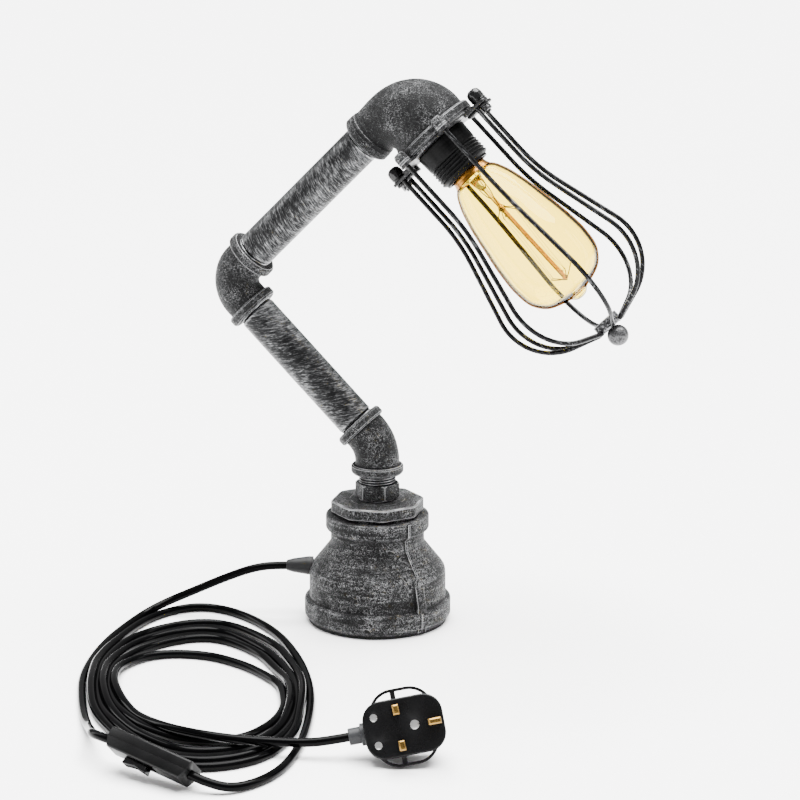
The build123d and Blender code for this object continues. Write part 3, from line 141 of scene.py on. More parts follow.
def make(name, verts, faces, at=WORLD, smooth=35, uneven=0.0, grain=14.0, with_wear_and_shading=True):
    """Mesh object from points in mm in the frame `at`, sharp at edges over `smooth` degrees.

    A cast surface's waves are `uneven` mm high and `grain` mm wide.
    """
    me = bpy.data.meshes.new(name)
    me.from_pydata([Vector(v) * MM for v in verts], [], faces)
    bm = bmesh.new()
    bm.from_mesh(me)
    bmesh.ops.remove_doubles(bm, verts=bm.verts, dist=2e-6)
    bmesh.ops.recalc_face_normals(bm, faces=bm.faces)
    if uneven:
        bm.normal_update()
        for v in bm.verts:
            p = v.co / MM
            fine = noise.noise(p / (grain * 0.35) + Vector((7, 3, 1)))
            push = noise.noise(p / grain) + 0.5 * fine
            v.co += v.normal * (push * uneven * MM)
    bm.to_mesh(me)
    bm.free()
    ob = linked(name, me)
    ob.matrix_world = at
    for p in me.polygons:
        p.use_smooth = True
    # edge wear on edges and painted shade in corners
    if with_wear_and_shading:
        mark_wear_and_shading(me)
    me.set_sharp_from_angle(angle=radians(smooth))
    return ob


def soften(points, steps=5):
    """Outline with rounded corners; a point is (r, z) or (r, z, radius of its rounding)."""
    out, n = [], len(points)
    for i, p in enumerate(points):
        r = p[2] if len(p) > 2 else 0.0
        if r <= 0 or i in (0, n - 1):
            out.append((p[0], p[1]))
            continue
        a, b, c = Vector(points[i - 1][:2]), Vector(p[:2]), Vector(points[i + 1][:2])
        u, v = (a - b), (c - b)
        lu, lv = u.length, v.length
        u.normalize()
        v.normalize()
        ang = acos(max(-1, min(1, u.dot(v))))
        if ang > pi - 1e-3:
            out.append((p[0], p[1]))
            continue
        t = min(r / tan(ang / 2), lu * 0.49 if i > 1 else lu, lv * 0.49 if i < n - 2 else lv)
        r = t * tan(ang / 2)
        centre = b + (u + v).normalized() * (r / sin(ang / 2))
        p0, p1 = b + u * t, b + v * t
        a0 = atan2(p0.y - centre.y, p0.x - centre.x)
        a1 = atan2(p1.y - centre.y, p1.x - centre.x)
        d = (a1 - a0 + pi) % (2 * pi) - pi
        k = max(2, int(steps * abs(d) / (pi / 2)) + 1)
        for j in range(k + 1):
            w = a0 + d * j / k
            out.append((centre.x + r * cos(w), centre.y + r * sin(w)))
    return out


def dense(points, step):
    """The same outline with no stretch longer than step."""
    out = [points[0]]
    for (r0, z0), (r1, z1) in zip(points, points[1:]):
        k = max(1, int(hypot(r1 - r0, z1 - z0) / step + 0.5))
        out += [(r0 + (r1 - r0) * i / k, z0 + (z1 - z0) * i / k) for i in range(1, k + 1)]
    return out


def skin(rows, close):
    """Faces between rows of equal length, each row a closed ring."""
    faces, seg = [], len(rows[0])
    for i in range(len(rows) if close else len(rows) - 1):
        a, b = rows[i], rows[(i + 1) % len(rows)]
        faces += [(a[j], a[(j + 1) % seg], b[(j + 1) % seg], b[j]) for j in range(seg)]
    return faces


def lathe(name, points, at=WORLD, seg=128, shape=None, angles=None, close=True, **more):
    """Turned piece; `shape(radius, z, angle)` may move a point of the outline."""
    angles = angles or [2 * pi * i / seg for i in range(seg)]
    verts, rows = [], []
    for r, z in points:
        rows.append(range(len(verts), len(verts) + len(angles)))
        for a in angles:
            rr = r if shape is None or r < 1e-6 else shape(r, z, a)
            verts.append((rr * cos(a), rr * sin(a), z))
    return make(name, verts, skin(rows, close), at, **more)


def rings(name, frames, at=WORLD, seg=96, close=False, **more):
    """Surface through circles (centre, x axis, y axis, radius), closed on itself or capped."""
    verts, rows = [], []
    for c, x, y, r in frames:
        c, x, y = Vector(c), Vector(x), Vector(y)
        rows.append(range(len(verts), len(verts) + seg))
        verts += [c + x * (r * cos(2 * pi * j / seg)) + y * (r * sin(2 * pi * j / seg))
                  for j in range(seg)]
    faces = skin(rows, close)
    if not close:
        faces += [tuple(rows[0]), tuple(rows[-1])]
    return make(name, verts, faces, at, **more)


def along(points, radius):
    """Circles of one radius along a smooth line of points."""
    pts = [Vector(p) for p in points]
    way = (pts[1] - pts[0]).normalized()
    side = way.orthogonal().normalized()
    out = []
    for i, p in enumerate(pts):
        a, b = pts[max(i - 1, 0)], pts[min(i + 1, len(pts) - 1)]
        new = (b - a).normalized()
        side = (side - new * side.dot(new)).normalized()
        out.append((p, side, new.cross(side), radius))
    return out


def join(name, parts):
    """One object from several, in the first one's frame."""
    base = parts[0]
    bm = bmesh.new()
    for ob in parts:
        other = ob.data.copy()
        other.transform(base.matrix_world.inverted() @ ob.matrix_world)
        bm.from_mesh(other)
        bpy.data.meshes.remove(other)
    me = bpy.data.meshes.new(name)
    bm.to_mesh(me)
    bm.free()
    at = base.matrix_world.copy()
    for ob in parts:
        bpy.data.objects.remove(ob)
    ob = linked(name, me)
    ob.matrix_world = at
    return ob


def turn_z(angle, x=0.0, y=0.0, z=0.0):
    """Turn about Z, then a move in mm inside the turned frame."""
    return Matrix.Rotation(radians(angle), 4, "Z") @ Matrix.Translation(Vector((x, y, z)) * MM)


def ease(t):
    """0 below 0, 1 above 1, with a smooth rise between."""
    t = max(0.0, min(1.0, t))
    return t * t * (3 - 2 * t)


def between(a, b, c, d, t):
    """Smooth curve's value between b and c, with its neighbours a and d."""
    return b + 0.5 * t * (c - a + t * (2 * a - 5 * b + 4 * c - d + t * (3 * (b - c) + d - a)))


# ---- materials
class Tree:
    """Helper round a material's nodes; a value is a number, a colour or a node's output."""

    def __init__(self, name):
        self.mat = bpy.data.materials.new(name)
        self.mat.use_nodes = True
        self.t = self.mat.node_tree
        self.bsdf = self.t.nodes["Principled BSDF"]
        self.coord = self.t.nodes.new("ShaderNodeTexCoord").outputs["Object"]

    def feed(self, socket, value):
        """Links or sets an input; a colour may come without its alpha."""
        if isinstance(value, bpy.types.NodeSocket):
            self.t.links.new(value, socket)
        elif socket.type == "RGBA" and len(value) == 3:
            socket.default_value = (*value, 1.0)
        else:
            socket.default_value = value

    def node(self, kind, inputs=(), **props):
        n = self.t.nodes.new("ShaderNode" + kind)
        for k, v in props.items():
            setattr(n, k, v)
        for k, v in dict(inputs).items():
            self.feed(n.inputs[k], v)
        return n

    def mapped(self, scale=(1, 1, 1), rotation=(0, 0, 0), move=(0, 0, 0)):
        """Object coordinates, turned, scaled and moved."""
        return self.node("Mapping", {
            "Vector": self.coord, "Scale": scale, "Rotation": rotation,
            "Location": move}).outputs[0]

    def noise(self, scale, detail, rough, vector=None, distortion=0.0):
        return self.node("TexNoise", {
            "Vector": vector or self.coord, "Scale": scale, "Detail": detail,
            "Roughness": rough, "Distortion": distortion}).outputs["Fac"]

    def ramp(self, fac, stops):
        """Colour ramp with stops (place, grey level or colour)."""
        n = self.t.nodes.new("ShaderNodeValToRGB")
        self.t.links.new(fac, n.inputs[0])
        e = n.color_ramp.elements
        while len(e) < len(stops):
            e.new(0.5)
        for el, (pos, col) in zip(e, stops):
            el.position = pos
            el.color = (*col, 1.0) if not isinstance(col, float) else (col, col, col, 1.0)
        return n.outputs[0]

    def math(self, op, a, b=0.5, clamp=False):
        return self.node("Math", {0: a, 1: b}, operation=op, use_clamp=clamp).outputs[0]

    def plus(self, level, value, gain):
        """level + value * gain"""
        return self.math("ADD", level, self.math("MULTIPLY", value, gain))

    def sway(self, level, value, gain):
        """level + (value - 0.5) * gain, for a noise that swings about 0.5"""
        return self.plus(level, self.math("SUBTRACT", value, 0.5), gain)

    def mix(self, fac, a, b):
        return self.node("Mix", {0: fac, 6: a, 7: b}, data_type="RGBA").outputs[2]

    def bump(self, height, strength, distance):
        b = self.node("Bump", {"Height": height, "Strength": strength, "Distance": distance})
        self.t.links.new(b.outputs[0], self.bsdf.inputs["Normal"])

    # edge wear, painted shade in corners, and the painted light and shadow that some pieces add
    def wear_and_shading(self):
        return self.node("Attribute", {}, attribute_name="wear_and_shading").outputs["Fac"]

    def set(self, **values):
        """Feeds the shader's inputs by name and returns the finished material."""
        for k, v in values.items():
            self.feed(self.bsdf.inputs[k.replace("_", " ")], v)
        return self.mat


CAST_DARK, CAST_LIGHT = (0.0028, 0.0029, 0.0031), (0.29, 0.293, 0.298)
WORM_SCALE, PEBBLE_SCALE, PATCH_SCALE = 540.0, 1500.0, 70.0  # cells per metre


def cast_iron(name, cover=0.0, line_gain=0.0, seed=0.0):
    """Black cast skin with a thin worm-like silver rub, stronger on edges, darkened in corners by
    painted shade.

    `cover` lets more of the rub through, `line_gain` adds level turning lines.
    """
    t = Tree(name)
    v = t.mapped(move=(seed, seed * 0.7, seed * 1.3))
    worm = t.noise(WORM_SCALE, 2, 0.5, v, 1.1)
    off = t.math("ABSOLUTE", t.math("SUBTRACT", worm, 0.5))
    ridge = t.math("SUBTRACT", 1.0, t.math("MULTIPLY", off, 8.5))  # 1 along each worm's middle
    pebble = t.noise(PEBBLE_SCALE, 2, 0.6, v, 0.4)
    patch = t.noise(PATCH_SCALE, 3, 0.6, v)
    level = t.plus(t.math("MULTIPLY", ridge, 0.40), pebble, 0.7)
    level = t.sway(level, patch, 0.45)
    if line_gain:
        lines = t.noise(1, 3, 0.6, t.mapped((22, 22, 420)), 0.4)
        level = t.sway(level, lines, line_gain)
    # the next lines read edge wear together with painted shade in corners and the painted light of
    # some pieces
    level = t.plus(level, t.wear_and_shading(), 0.20)
    rub = t.ramp(level, [(0.55 - cover, 0.0), (0.68 - cover, 0.15), (0.84 - cover, 0.60)])
    edge = t.math("SUBTRACT", t.plus(t.wear_and_shading(), pebble, 0.4), 0.54)
    rub = t.math("MAXIMUM", rub, t.math("MULTIPLY", edge, 2.6, clamp=True))
    t.bump(t.math("ADD", t.math("MULTIPLY", ridge, 0.4), pebble), 0.75, 0.0005)
    return t.set(Base_Color=t.mix(rub, CAST_DARK, CAST_LIGHT), Metallic=t.math("MULTIPLY", rub, 0.7),
        Roughness=t.ramp(rub, [(0.0, 0.55), (1.0, 0.38)]), Specular_IOR_Level=0.08)


def pipe_steel(name, seed=0.0, slant=-0.3):
    """Blackened pipe with rubbed strokes across it, tilted by `slant` radians."""
    t = Tree(name)
    turned = t.mapped((1, 1, 1), (slant, 0, 0), (seed, seed, seed))
    turned = t.node("Mapping", {"Vector": turned, "Scale": (0.55, 0.55, 4.6)}).outputs[0]
    stroke = t.noise(250, 3, 0.6, turned, 0.4)
    fine = t.noise(800, 2, 0.6, turned)
    patch = t.noise(60, 3, 0.6, t.mapped((1, 1, 0.55), move=(seed, 0, 0)))
    level = t.plus(t.math("MULTIPLY", stroke, 0.6), fine, 0.4)
    level = t.sway(level, patch, 0.30)
    # edge wear, with the painted reflection on the flanks and painted shade between them
    level = t.plus(level, t.wear_and_shading(), 0.35)
    rub = t.ramp(level, [(0.46, 0.0), (0.55, 0.26), (0.67, 1.0)])
    t.bump(level, 0.30, 0.0003)
    return t.set(Base_Color=t.mix(rub, (0.005, 0.0051, 0.0054), (0.22, 0.223, 0.227)),
        Metallic=t.ramp(rub, [(0.0, 0.35), (1.0, 0.95)]),
        Roughness=t.ramp(rub, [(0.0, 0.42), (1.0, 0.30)]),
        Specular_IOR_Level=0.10)


def worn_black(name, cover=0.60, dark=(0.006, 0.006, 0.0065), light=(0.20, 0.20, 0.205),
               rough=0.34, scale=700.0, edge=0.3, stretch=1.0, shine=0.16):
    """Black finish rubbed through in flecks and along its edges, darkened in corners by painted
    shade; a higher `cover` hides more.
    """
    t = Tree(name)
    fleck = t.noise(scale, 3, 0.62, t.mapped((1, 1, stretch)))
    patch = t.noise(60, 2, 0.5)
    level = t.sway(fleck, patch, 0.3)
    # `edge` scales edge wear together with the painted shade in corners
    level = t.plus(level, t.wear_and_shading(), edge)
    rub = t.ramp(level, [(cover - 0.03, 0.0), (cover + 0.12, 1.0)])
    t.bump(fleck, 0.25, 0.0002)
    return t.set(Base_Color=t.mix(rub, dark, light), Metallic=t.math("MULTIPLY", rub, 0.8),
        Roughness=t.ramp(rub, [(0.0, rough), (1.0, 0.35)]), Specular_IOR_Level=shine)


def plastic(name, colour, rough, grain=2500, depth=0.06, shine=0.3):
    """Moulded plastic with a faint grain and slightly uneven gloss."""
    t = Tree(name)
    fine = t.noise(grain, 2, 0.5)
    wide = t.noise(70, 2, 0.5)
    t.bump(fine, depth, 0.0002)
    lighter = tuple(c * 1.12 + 0.001 for c in colour)
    return t.set(Base_Color=t.mix(wide, colour, lighter), Specular_IOR_Level=shine,
        Roughness=t.ramp(wide, [(0.3, max(rough - 0.05, 0.02)), (0.7, rough + 0.05)]))


def bare_metal(name, colour, rough=0.28, scale=900.0):
    """Plated or bare metal with fine lines and a little stain."""
    t = Tree(name)
    lines = t.noise(scale, 3, 0.6, t.mapped((1, 1, 6)))
    stain = t.noise(90, 2, 0.6)
    t.bump(lines, 0.08, 0.0001)
    darker = tuple(c * 0.6 for c in colour)
    share = t.ramp(stain, [(0.35, 0.0), (0.75, 1.0)])
    return t.set(Base_Color=t.mix(share, colour, darker), Metallic=1.0,
        Roughness=t.ramp(lines, [(0.3, rough - 0.06), (0.7, rough + 0.1)]))


def holder_black(name):
    """Matt black moulding with faint lines round and along it."""
    t = Tree(name)
    round_ = t.noise(1, 2, 0.6, t.mapped((30, 30, 900)))
    long_ = t.noise(1, 2, 0.6, t.mapped((700, 700, 18)))
    both = t.plus(t.math("MULTIPLY", round_, 0.6), long_, 0.4)
    t.bump(both, 0.25, 0.0002)
    rub = t.ramp(both, [(0.45, 0.0), (0.7, 1.0)])
    return t.set(Base_Color=t.mix(rub, (0.0008, 0.0008, 0.0008), (0.004, 0.004, 0.0042)),
        Roughness=t.ramp(both, [(0.3, 0.34), (0.7, 0.5)]), Specular_IOR_Level=0.06)


def tinted_glass(name, colour, middle, rim):
    """Thin tinted glass, browner and without gloss where it is seen edge on."""
    t = Tree(name)
    facing = t.node("LayerWeight", {"Blend": 0.5}).outputs["Facing"]
    t.bump(t.noise(30, 2, 0.5), 0.04, 0.0004)
    inner_share = t.ramp(facing, [(0.60, 1.0), (0.76, 0.0)])
    return t.set(Base_Color=t.ramp(facing, [(0.58, colour), (0.71, middle), (0.81, rim)]),
        Transmission_Weight=1.0, Roughness=0.0, IOR=t.plus(1.0, inner_share, 0.26))


STEM_COLOURS = [(0.25, (0.97, 0.95, 0.90)), (0.6, (0.55, 0.33, 0.05)), (1.0, (0.34, 0.165, 0.02))]


def stem_glass(name):
    """Clear pinch that turns into the amber rod between 70 and 110 mm up the head's axis."""
    t = Tree(name)
    height = t.node("SeparateXYZ", {"Vector": t.coord}).outputs["Z"]
    share = t.math("MULTIPLY", t.math("SUBTRACT", height, 0.070), 25.0, clamp=True)
    t.bump(t.noise(300, 2, 0.5), 0.1, 0.0002)
    return t.set(Base_Color=t.ramp(share, STEM_COLOURS), Transmission_Weight=1.0,
        Roughness=0.02, IOR=1.45)


MAT = {
    "cast_fitting": cast_iron("cast_skin"),
    "pipe_steel": pipe_steel("rubbed_pipe"),
    "foot_pad": plastic("foot_rubber", (0.006, 0.006, 0.006), 0.75, shine=0.15),
    "black_metal": worn_black("rubbed_black"),
    "grey_metal": worn_black("grey_mottled", 0.50, (0.03, 0.03, 0.032), (0.30, 0.30, 0.31), 0.4, 900),
    "black_plastic": plastic("satin_black", (0.0015, 0.0015, 0.0016), 0.34, shine=0.09),
    "cord_pvc": plastic("flex_pvc", (0.0004, 0.0004, 0.0005), 0.11, 1200, 0.03, shine=0.035),
    "plug_plastic": plastic("plug_black", (0.002, 0.002, 0.0022), 0.28, shine=0.12),
    "sleeve_grey": plastic("sleeve", (0.024, 0.0245, 0.026), 0.42, shine=0.12),
    "brass": bare_metal("bright_brass", (0.22, 0.13, 0.035), 0.26),
    "steel_small": bare_metal("zinc", (0.95, 0.95, 0.94), 0.16),
    "amber_glass": tinted_glass("bulb_amber", (0.94, 0.79, 0.22), (0.50, 0.28, 0.08),
                                (0.09, 0.038, 0.009)),
    "stem_glass": stem_glass("stem_amber"),
    "fibre": plastic("fibre", (0.30, 0.24, 0.15), 0.7),
}
SLOT_OF = {s["node"]: s["material_slot"] for s in frame["record"]["subparts"]}

# the CAD nodes that no piece replaces are shown with their slot's finish
for node, ob in NODES.items():
    ob.data.materials.clear()
    ob.data.materials.append(MAT[SLOT_OF[node]])
    for p in ob.data.polygons:
        p.use_smooth = True
    ob.data.set_sharp_from_angle(angle=radians(30))


def piece(ob, body, *nodes, mat=None):
    """Gives a new piece its finish and its body, and hides the CAD nodes that it stands for."""
    slot = SLOT_OF[nodes[0]]
    ob.data.materials.clear()
    ob.data.materials.append(mat or MAT[slot])
    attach(ob, body)
    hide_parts(*nodes)
    return ob


def edge_break(node, width):
    """Rounds the sharp edges of a CAD node that is shown as it is; width in mm."""
    ob = NODES[node]
    weld = ob.modifiers.new("weld", "WELD")
    weld.merge_threshold = 1e-6
    mod = ob.modifiers.new("edge", "BEVEL")
    mod.width = width * MM
    mod.segments = 2
    mod.limit_method = "ANGLE"
    mod.angle_limit = radians(40)


# ---- base
# outlines are lists of (radius, height); BELL runs up the outside, BELL_INSIDE down the inside
BELL = dense(soften([
    (50.2, 2.5), (52.2, 5.5, 2), (52.2, 16.2, 1.6), (48.6, 17.5, 1.2), (48.6, 38, 10),
    (33.2, 57.8, 6), (33.2, 65.5, 1), (36.7, 68.5, 2), (36.7, 78.2, 1.4), (29.4, 78.2)]), 1)
BELL_INSIDE = [(29.4, 58.2), (27.3, 58.2), (27.3, 54.8), (42.6, 35), (42.6, 16.2), (43.2, 2.5)]
BELL_TOP = 77.6  # the seam ends here
RIB_R, RIB_FOOT, RIB_TOP = 52, 22.2, 43  # a rib is upright up to its foot and leans in above it
RIB_HALF, SEAM_HALF, SEAM_HEIGHT = 3.5, 1.25, 0.75


def base_body(z):
    """Radius of the bell without its ribs."""
    for (r0, z0), (r1, z1) in zip(BELL, BELL[1:]):
        if min(z0, z1) <= z <= max(z0, z1) and z0 != z1:
            return r0 + (r1 - r0) * (z - z0) / (z1 - z0)
    return 0.0


def bell_shape(r, z, a):
    """Adds the two seams and the two ribs to the outside of the turned bell."""
    if r < base_body(z) - 0.4 or z > BELL_TOP:
        return r
    for side in (0, 180):
        off = abs(((a - radians(RIB_ANGLE + side) + pi) % (2 * pi) - pi)) * r
        if off > 6:
            continue
        grown = r + SEAM_HEIGHT * ease((SEAM_HALF - off) / 0.5)
        if z < RIB_TOP:
            rib = RIB_R if z < RIB_FOOT else RIB_R - 4.9 * (z - RIB_FOOT) / 19.8
            half = RIB_HALF * ease((45 - z) / 9)
            rise = ease((half + 0.25 - off) / 0.5)
            grown = max(grown, r + max(rib - r, 0) * rise)
        return grown
    return r


def near_ribs():
    """Angles round the base in radians, close together at the ribs."""
    out, a = [], 0.0
    while a < 359.9:
        out.append(radians(a))
        gap = min(abs((a - RIB_ANGLE - s + 180) % 360 - 180) for s in (0, 180))
        a += 0.3 if gap < 5.2 else 1.0 if gap < 7 else 2.25
    return out


def bell_rub_and_shadow(ob):
    """Rub along the crest of each seam, painted shadow on one side of the seams and of the ribs."""
    for x, y, z, entry in wear_and_shading_points(ob):
        turned = atan2(y, x) - radians(RIB_ANGLE)
        off = min((((turned - s + pi) % (2 * pi)) - pi for s in (0, pi)), key=abs) * hypot(x, y)
        rib_shadow = ease((off + 8.5) / 4.5) * ease((-3.4 - off) / 0.5)
        seam_shadow = ease((off + 3.6) / 1.6) * ease((-1.1 - off) / 0.5)
        crest = ease((0.8 - abs(off)) / 0.5)
        rib = ease((z - 18) / 6) * ease((46 - z) / 8)
        seam = ease((z - 40) / 4) * ease((77 - z) / 2)
        # painted shadow beside each rib; rub on each seam's crest and painted shadow beside it
        entry.value -= 0.9 * rib * rib_shadow
        entry.value += seam * (0.32 * crest - 0.5 * seam_shadow)


bell = lathe("base_casting", BELL + BELL_INSIDE, angles=near_ribs(), shape=bell_shape, uneven=0.13,
             grain=16)
bell_rub_and_shadow(bell)
piece(bell, "base", "base_reducer", mat=cast_iron("cast_base", line_gain=0.55, seed=0.11))


def polygon(a, apothem, sides, turn, blunt):
    """Radius of a polygon with slightly blunted corners; `turn` is a corner's bearing."""
    half = pi / sides
    off = abs((a - radians(turn) + half) % (2 * half) - half)  # 0 at a corner, half at a flat
    side = apothem / cos(half - off)
    return side - blunt * max(0, 1 - off / (0.28 * half)) ** 2


def thread(crest, depth, z, a):
    """Radius of a screw thread at a height and angle."""
    share = (z / THREAD_PITCH - a / (2 * pi)) % 1.0
    return crest - depth * abs(2 * share - 1)


def corner_angles(count, sides, turn):
    """Even angles round a piece in radians, with extra ones at the corners of a polygon."""
    out = [2 * pi * i / count for i in range(count)]
    for k in range(sides):
        corner = radians(turn) + 2 * pi * k / sides
        out += [corner + radians(w) for w in (-2.2, -1.1, -0.4, 0.4, 1.1, 2.2)]
    return sorted(a % (2 * pi) for a in out)


OCT_CORNER, OCT_FLAT, OCT_FOOT = 33.6, 31.04, 80.19
OCTAGON = dense(soften([
    (13.3, 88.9), (32.7, 88.5, 0.5), (33.6, 87.8, 0.4), (33.6, 80.9, 0.4), (33, 80.2, 0.3),
    (29.25, 80.2)], 3), 0.9)
OCTAGON += [(29.2, 80.1), (29.2, 79), (29.2, 78.3), (29.2, 59.3), (23.3, 59.3), (23.3, 70.2),
            (13.3, 70.2)]


def octagon_shape(r, z, a):
    """Thread below the octagon's foot, eight flats above it."""
    if z < OCT_FOOT:
        return r if r < 28 else thread(29.3, 0.8, z, a)
    if r > 20:
        return polygon(a, OCT_FLAT, 8, OCT_TURN, 0.5) * r / OCT_CORNER
    return r


octagon = lathe("octagon_bushing", OCTAGON, shape=octagon_shape,
                angles=corner_angles(160, 8, OCT_TURN), uneven=0.06, grain=9)
for x, y, z, entry in wear_and_shading_points(octagon):
    if z > 88.3 and hypot(x, y) < 30.5:  # painted light on the top face, fading towards the nipple
        entry.value += 0.30 * ease((hypot(x, y) - 18) / 13)
piece(octagon, "base", "reducing_bushing", mat=cast_iron("cast_bushing", cover=-0.03, seed=0.37))

HEXAGON = soften([
    (END_R, 90.2), (14.9, 90.2, 0.3), (16.1, 91.2, 0.3), (16.1, 100.2, 0.3), (14.9, 101.2, 0.3),
    (END_R, 101.2)], 3)
NIPPLE = dense([(BORE_R, 76.8), (END_R, 76.8)], 5)
NIPPLE += [(END_R, 77 + i * THREAD_ROW) for i in range(44)] + dense(HEXAGON, 0.8)
NIPPLE += [(END_R, 101.3 + i * THREAD_ROW) for i in range(61)] + [(BORE_R, 119.7)]


def nipple_shape(r, z, a):
    """Six flats in the middle, thread at both ends."""
    if 90.19 < z < 101.21 and r > 13.3:
        return min(r, polygon(a, 14, 6, HEX_TURN, 0.25))
    if r > 12.5 and 76 < z < 120:
        return thread(THREAD_R, 0.95, z, a)
    return r


piece(lathe("hex_nipple_worn_and_shaded", NIPPLE, shape=nipple_shape, angles=corner_angles(96, 6, HEX_TURN),
            uneven=0.04, grain=6),
      "base", "hex_nipple", mat=cast_iron("cast_nipple", cover=-0.02, seed=0.53))


# ---- elbows
def fitting_outline(length):
    """Outline (radius, way) of an equal elbow laid out straight, its bore in the last four rows."""
    end = [
        (SOCKET_R, 0), (17.1, 0, 0.5), (18.5, 1.4, 1.2), (18.5, 5.5, 0.9), (17.5, 6.5, 0.6),
        (15.75, 6.6, 0.5), (15.6, 7.2)]
    far = [(p[0], length - p[1], *p[2:]) for p in reversed(end)]
    low, high = SOCKET_DEPTH, length - SOCKET_DEPTH
    bore = [(SOCKET_R, high), (BORE_R, high), (BORE_R, low), (SOCKET_R, low)]
    return dense(soften(end + far), 0.9) + bore


def bent_way(leg, bend, angle):
    """Function from the way along a bent line to (centre, x axis, y axis), and the line's length."""
    a = radians(angle)
    t = bend * tan(a / 2)
    straight, arc = leg - t, bend * a

    def at(s):
        if s < straight:
            return (0, 0, s - leg), (0, 1, 0), (-1, 0, 0)
        if s < straight + arc:
            w = (s - straight) / bend
            return (bend * (1 - cos(w)), 0, bend * sin(w) - t), (0, 1, 0), (-cos(w), 0, sin(w))
        k = t + s - straight - arc
        return (k * sin(a), 0, k * cos(a)), (0, 1, 0), (-cos(a), 0, sin(a))

    return at, 2 * straight + arc


def elbow(name, node, body, leg, bend, angle, at, seed):
    """Malleable elbow with a rolled band at each end."""
    way, length = bent_way(leg, bend, angle)
    frames = []
    rows = fitting_outline(length)
    bore_top, bore = len(rows) - 3, length - 2 * SOCKET_DEPTH
    for i, (r, s) in enumerate(rows):
        frames.append((*way(s), r))
        if i == bore_top:  # the bore follows the bend between its two shoulders
            frames += [(*way(length - SOCKET_DEPTH - bore * k / 14), r) for k in range(1, 14)]
    ob = rings(name, frames, at, 112, True, uneven=0.12, grain=10)
    return piece(ob, body, node, mat=cast_iron("cast_" + name, cover=-0.05, seed=seed))


elbow("swivel_elbow", "elbow_45", "lower_arm", LEG_45, BEND_45, 45, AT_45, 0.71)
elbow("middle_elbow", "elbow_90", "upper_arm", LEG_90, BEND_90, 90, AT_90, 0.93)

HEAD_TURN = (24, -28.2)  # (x, z) that the reducing bend turns about
HEAD_WALL = 4


def head_rows():
    """Rows of the reducing elbow: neck, bend and bell outside, then the same inside."""
    x = (0, 1, 0)

    def neck(points):
        return [((0.1, 0, t), x, (-1, 0, 0), r) for r, t in points]

    def bend(wall, lo, hi, count):
        out = []
        for i in range(count + 1):
            share = lo + (hi - lo) * i / count
            a = pi / 2 * share
            radius = 17.5 + 10.7 * sin(a) ** 1.5
            reach = 6.4 + (0.4 - 6.4) * share + radius
            centre = (HEAD_TURN[0] - reach * cos(a), 0, HEAD_TURN[1] + reach * sin(a))
            out.append((centre, x, (-cos(a), 0, sin(a)), radius - wall))
        return out

    def bell(points):
        return [((t, 0, 0.4), x, (0, 0, 1), r) for r, t in points]

    small = soften([
        (SOCKET_R, -40.3), (17.1, -40.3, 0.5), (18.5, -38.9, 1.2), (18.5, -34.4, 0.9),
        (18.25, -33.3, 0.3), (18.2, -31.2, 0.6), (17.5, -30, 0.5), (17.5, -28.6)])
    wide = soften([
        (28.2, 24.4), (28.2, 26.9, 0.5), (30.2, 27.1, 0.5), (31.2, 28.1, 0.9), (31.2, 32.6, 1.1),
        (29.9, 34, 0.4), (25.5, 34)])
    inside = [(BORE_R, -28.2), (BORE_R, -28.3), (SOCKET_R, -28.3)]
    return (neck(dense(small, 0.9)) + bend(0, 0, 1, 44) + bell(dense(wide, 0.9))
            + bell([(25.5, 24), (24.3, 23.9)]) + bend(HEAD_WALL, 0.98, 0.02, 20) + neck(inside))


def head_shading(ob):
    """Lighter over the outside of the bend, painted shade in its inner corner."""
    for x, _, z, entry in wear_and_shading_points(ob):
        x, z = x - HEAD_TURN[0], z - HEAD_TURN[1]
        if x < 6 and z > -6:
            reach = hypot(x, z)
            entry.value += 0.10 * ease((reach - 36) / 22) - 0.35 * ease((24 - reach) / 14)


crown = rings("head_casting", head_rows(), AT_BEND, 128, True, uneven=0.16, grain=12)
head_shading(crown)
piece(crown, "head", "head_elbow", mat=cast_iron("cast_head", cover=-0.075, seed=1.31))


# ---- pipes
def pipe(name, node, body, shown, at, seed, lean, slant):
    """Pipe with threaded ends, `shown` long between fittings; `lean` turns its painted bright flanks.
    """
    low, high = -PIPE_HIDDEN, shown + PIPE_HIDDEN
    rows = [(BORE_R, low), (END_R, low)] + [(END_R, low + THREAD_ROW * i) for i in range(1, 47)]
    rows += [(13.25, 2.1), (PIPE_R, 2.4)]
    rows += [(PIPE_R, 2.4 + (shown - 4.8) * i / 60) for i in range(1, 61)]
    rows += [(13.25, shown - 2.1)] + [(END_R, shown - 1.8 + THREAD_ROW * i) for i in range(46)]
    rows += [(END_R, high), (BORE_R, high)]

    def threaded(r, z, a):
        if r > 12 and (z < 2.2 or z > shown - 2.2):
            return thread(THREAD_R, 0.8, z, a)
        return r

    tube = lathe(name, rows, at, 96, threaded, uneven=0.05, grain=22)
    for x, y, _, entry in wear_and_shading_points(tube):
        side = abs(sin(atan2(y, x) + radians(lean)))  # painted reflection: brighter flanks, with painted shade between them
        entry.value += 0.21 * side ** 1.5 - 0.18
    return piece(tube, body, node, mat=pipe_steel("steel_" + name, seed, slant))


pipe("lower_tube", "lower_pipe", "lower_arm", LOWER_PIPE, AT_LOWER, 0.2, -8, -0.60)
pipe("upper_tube", "upper_pipe", "upper_arm", UPPER_PIPE, AT_UPPER, 0.9, 12, -0.26)

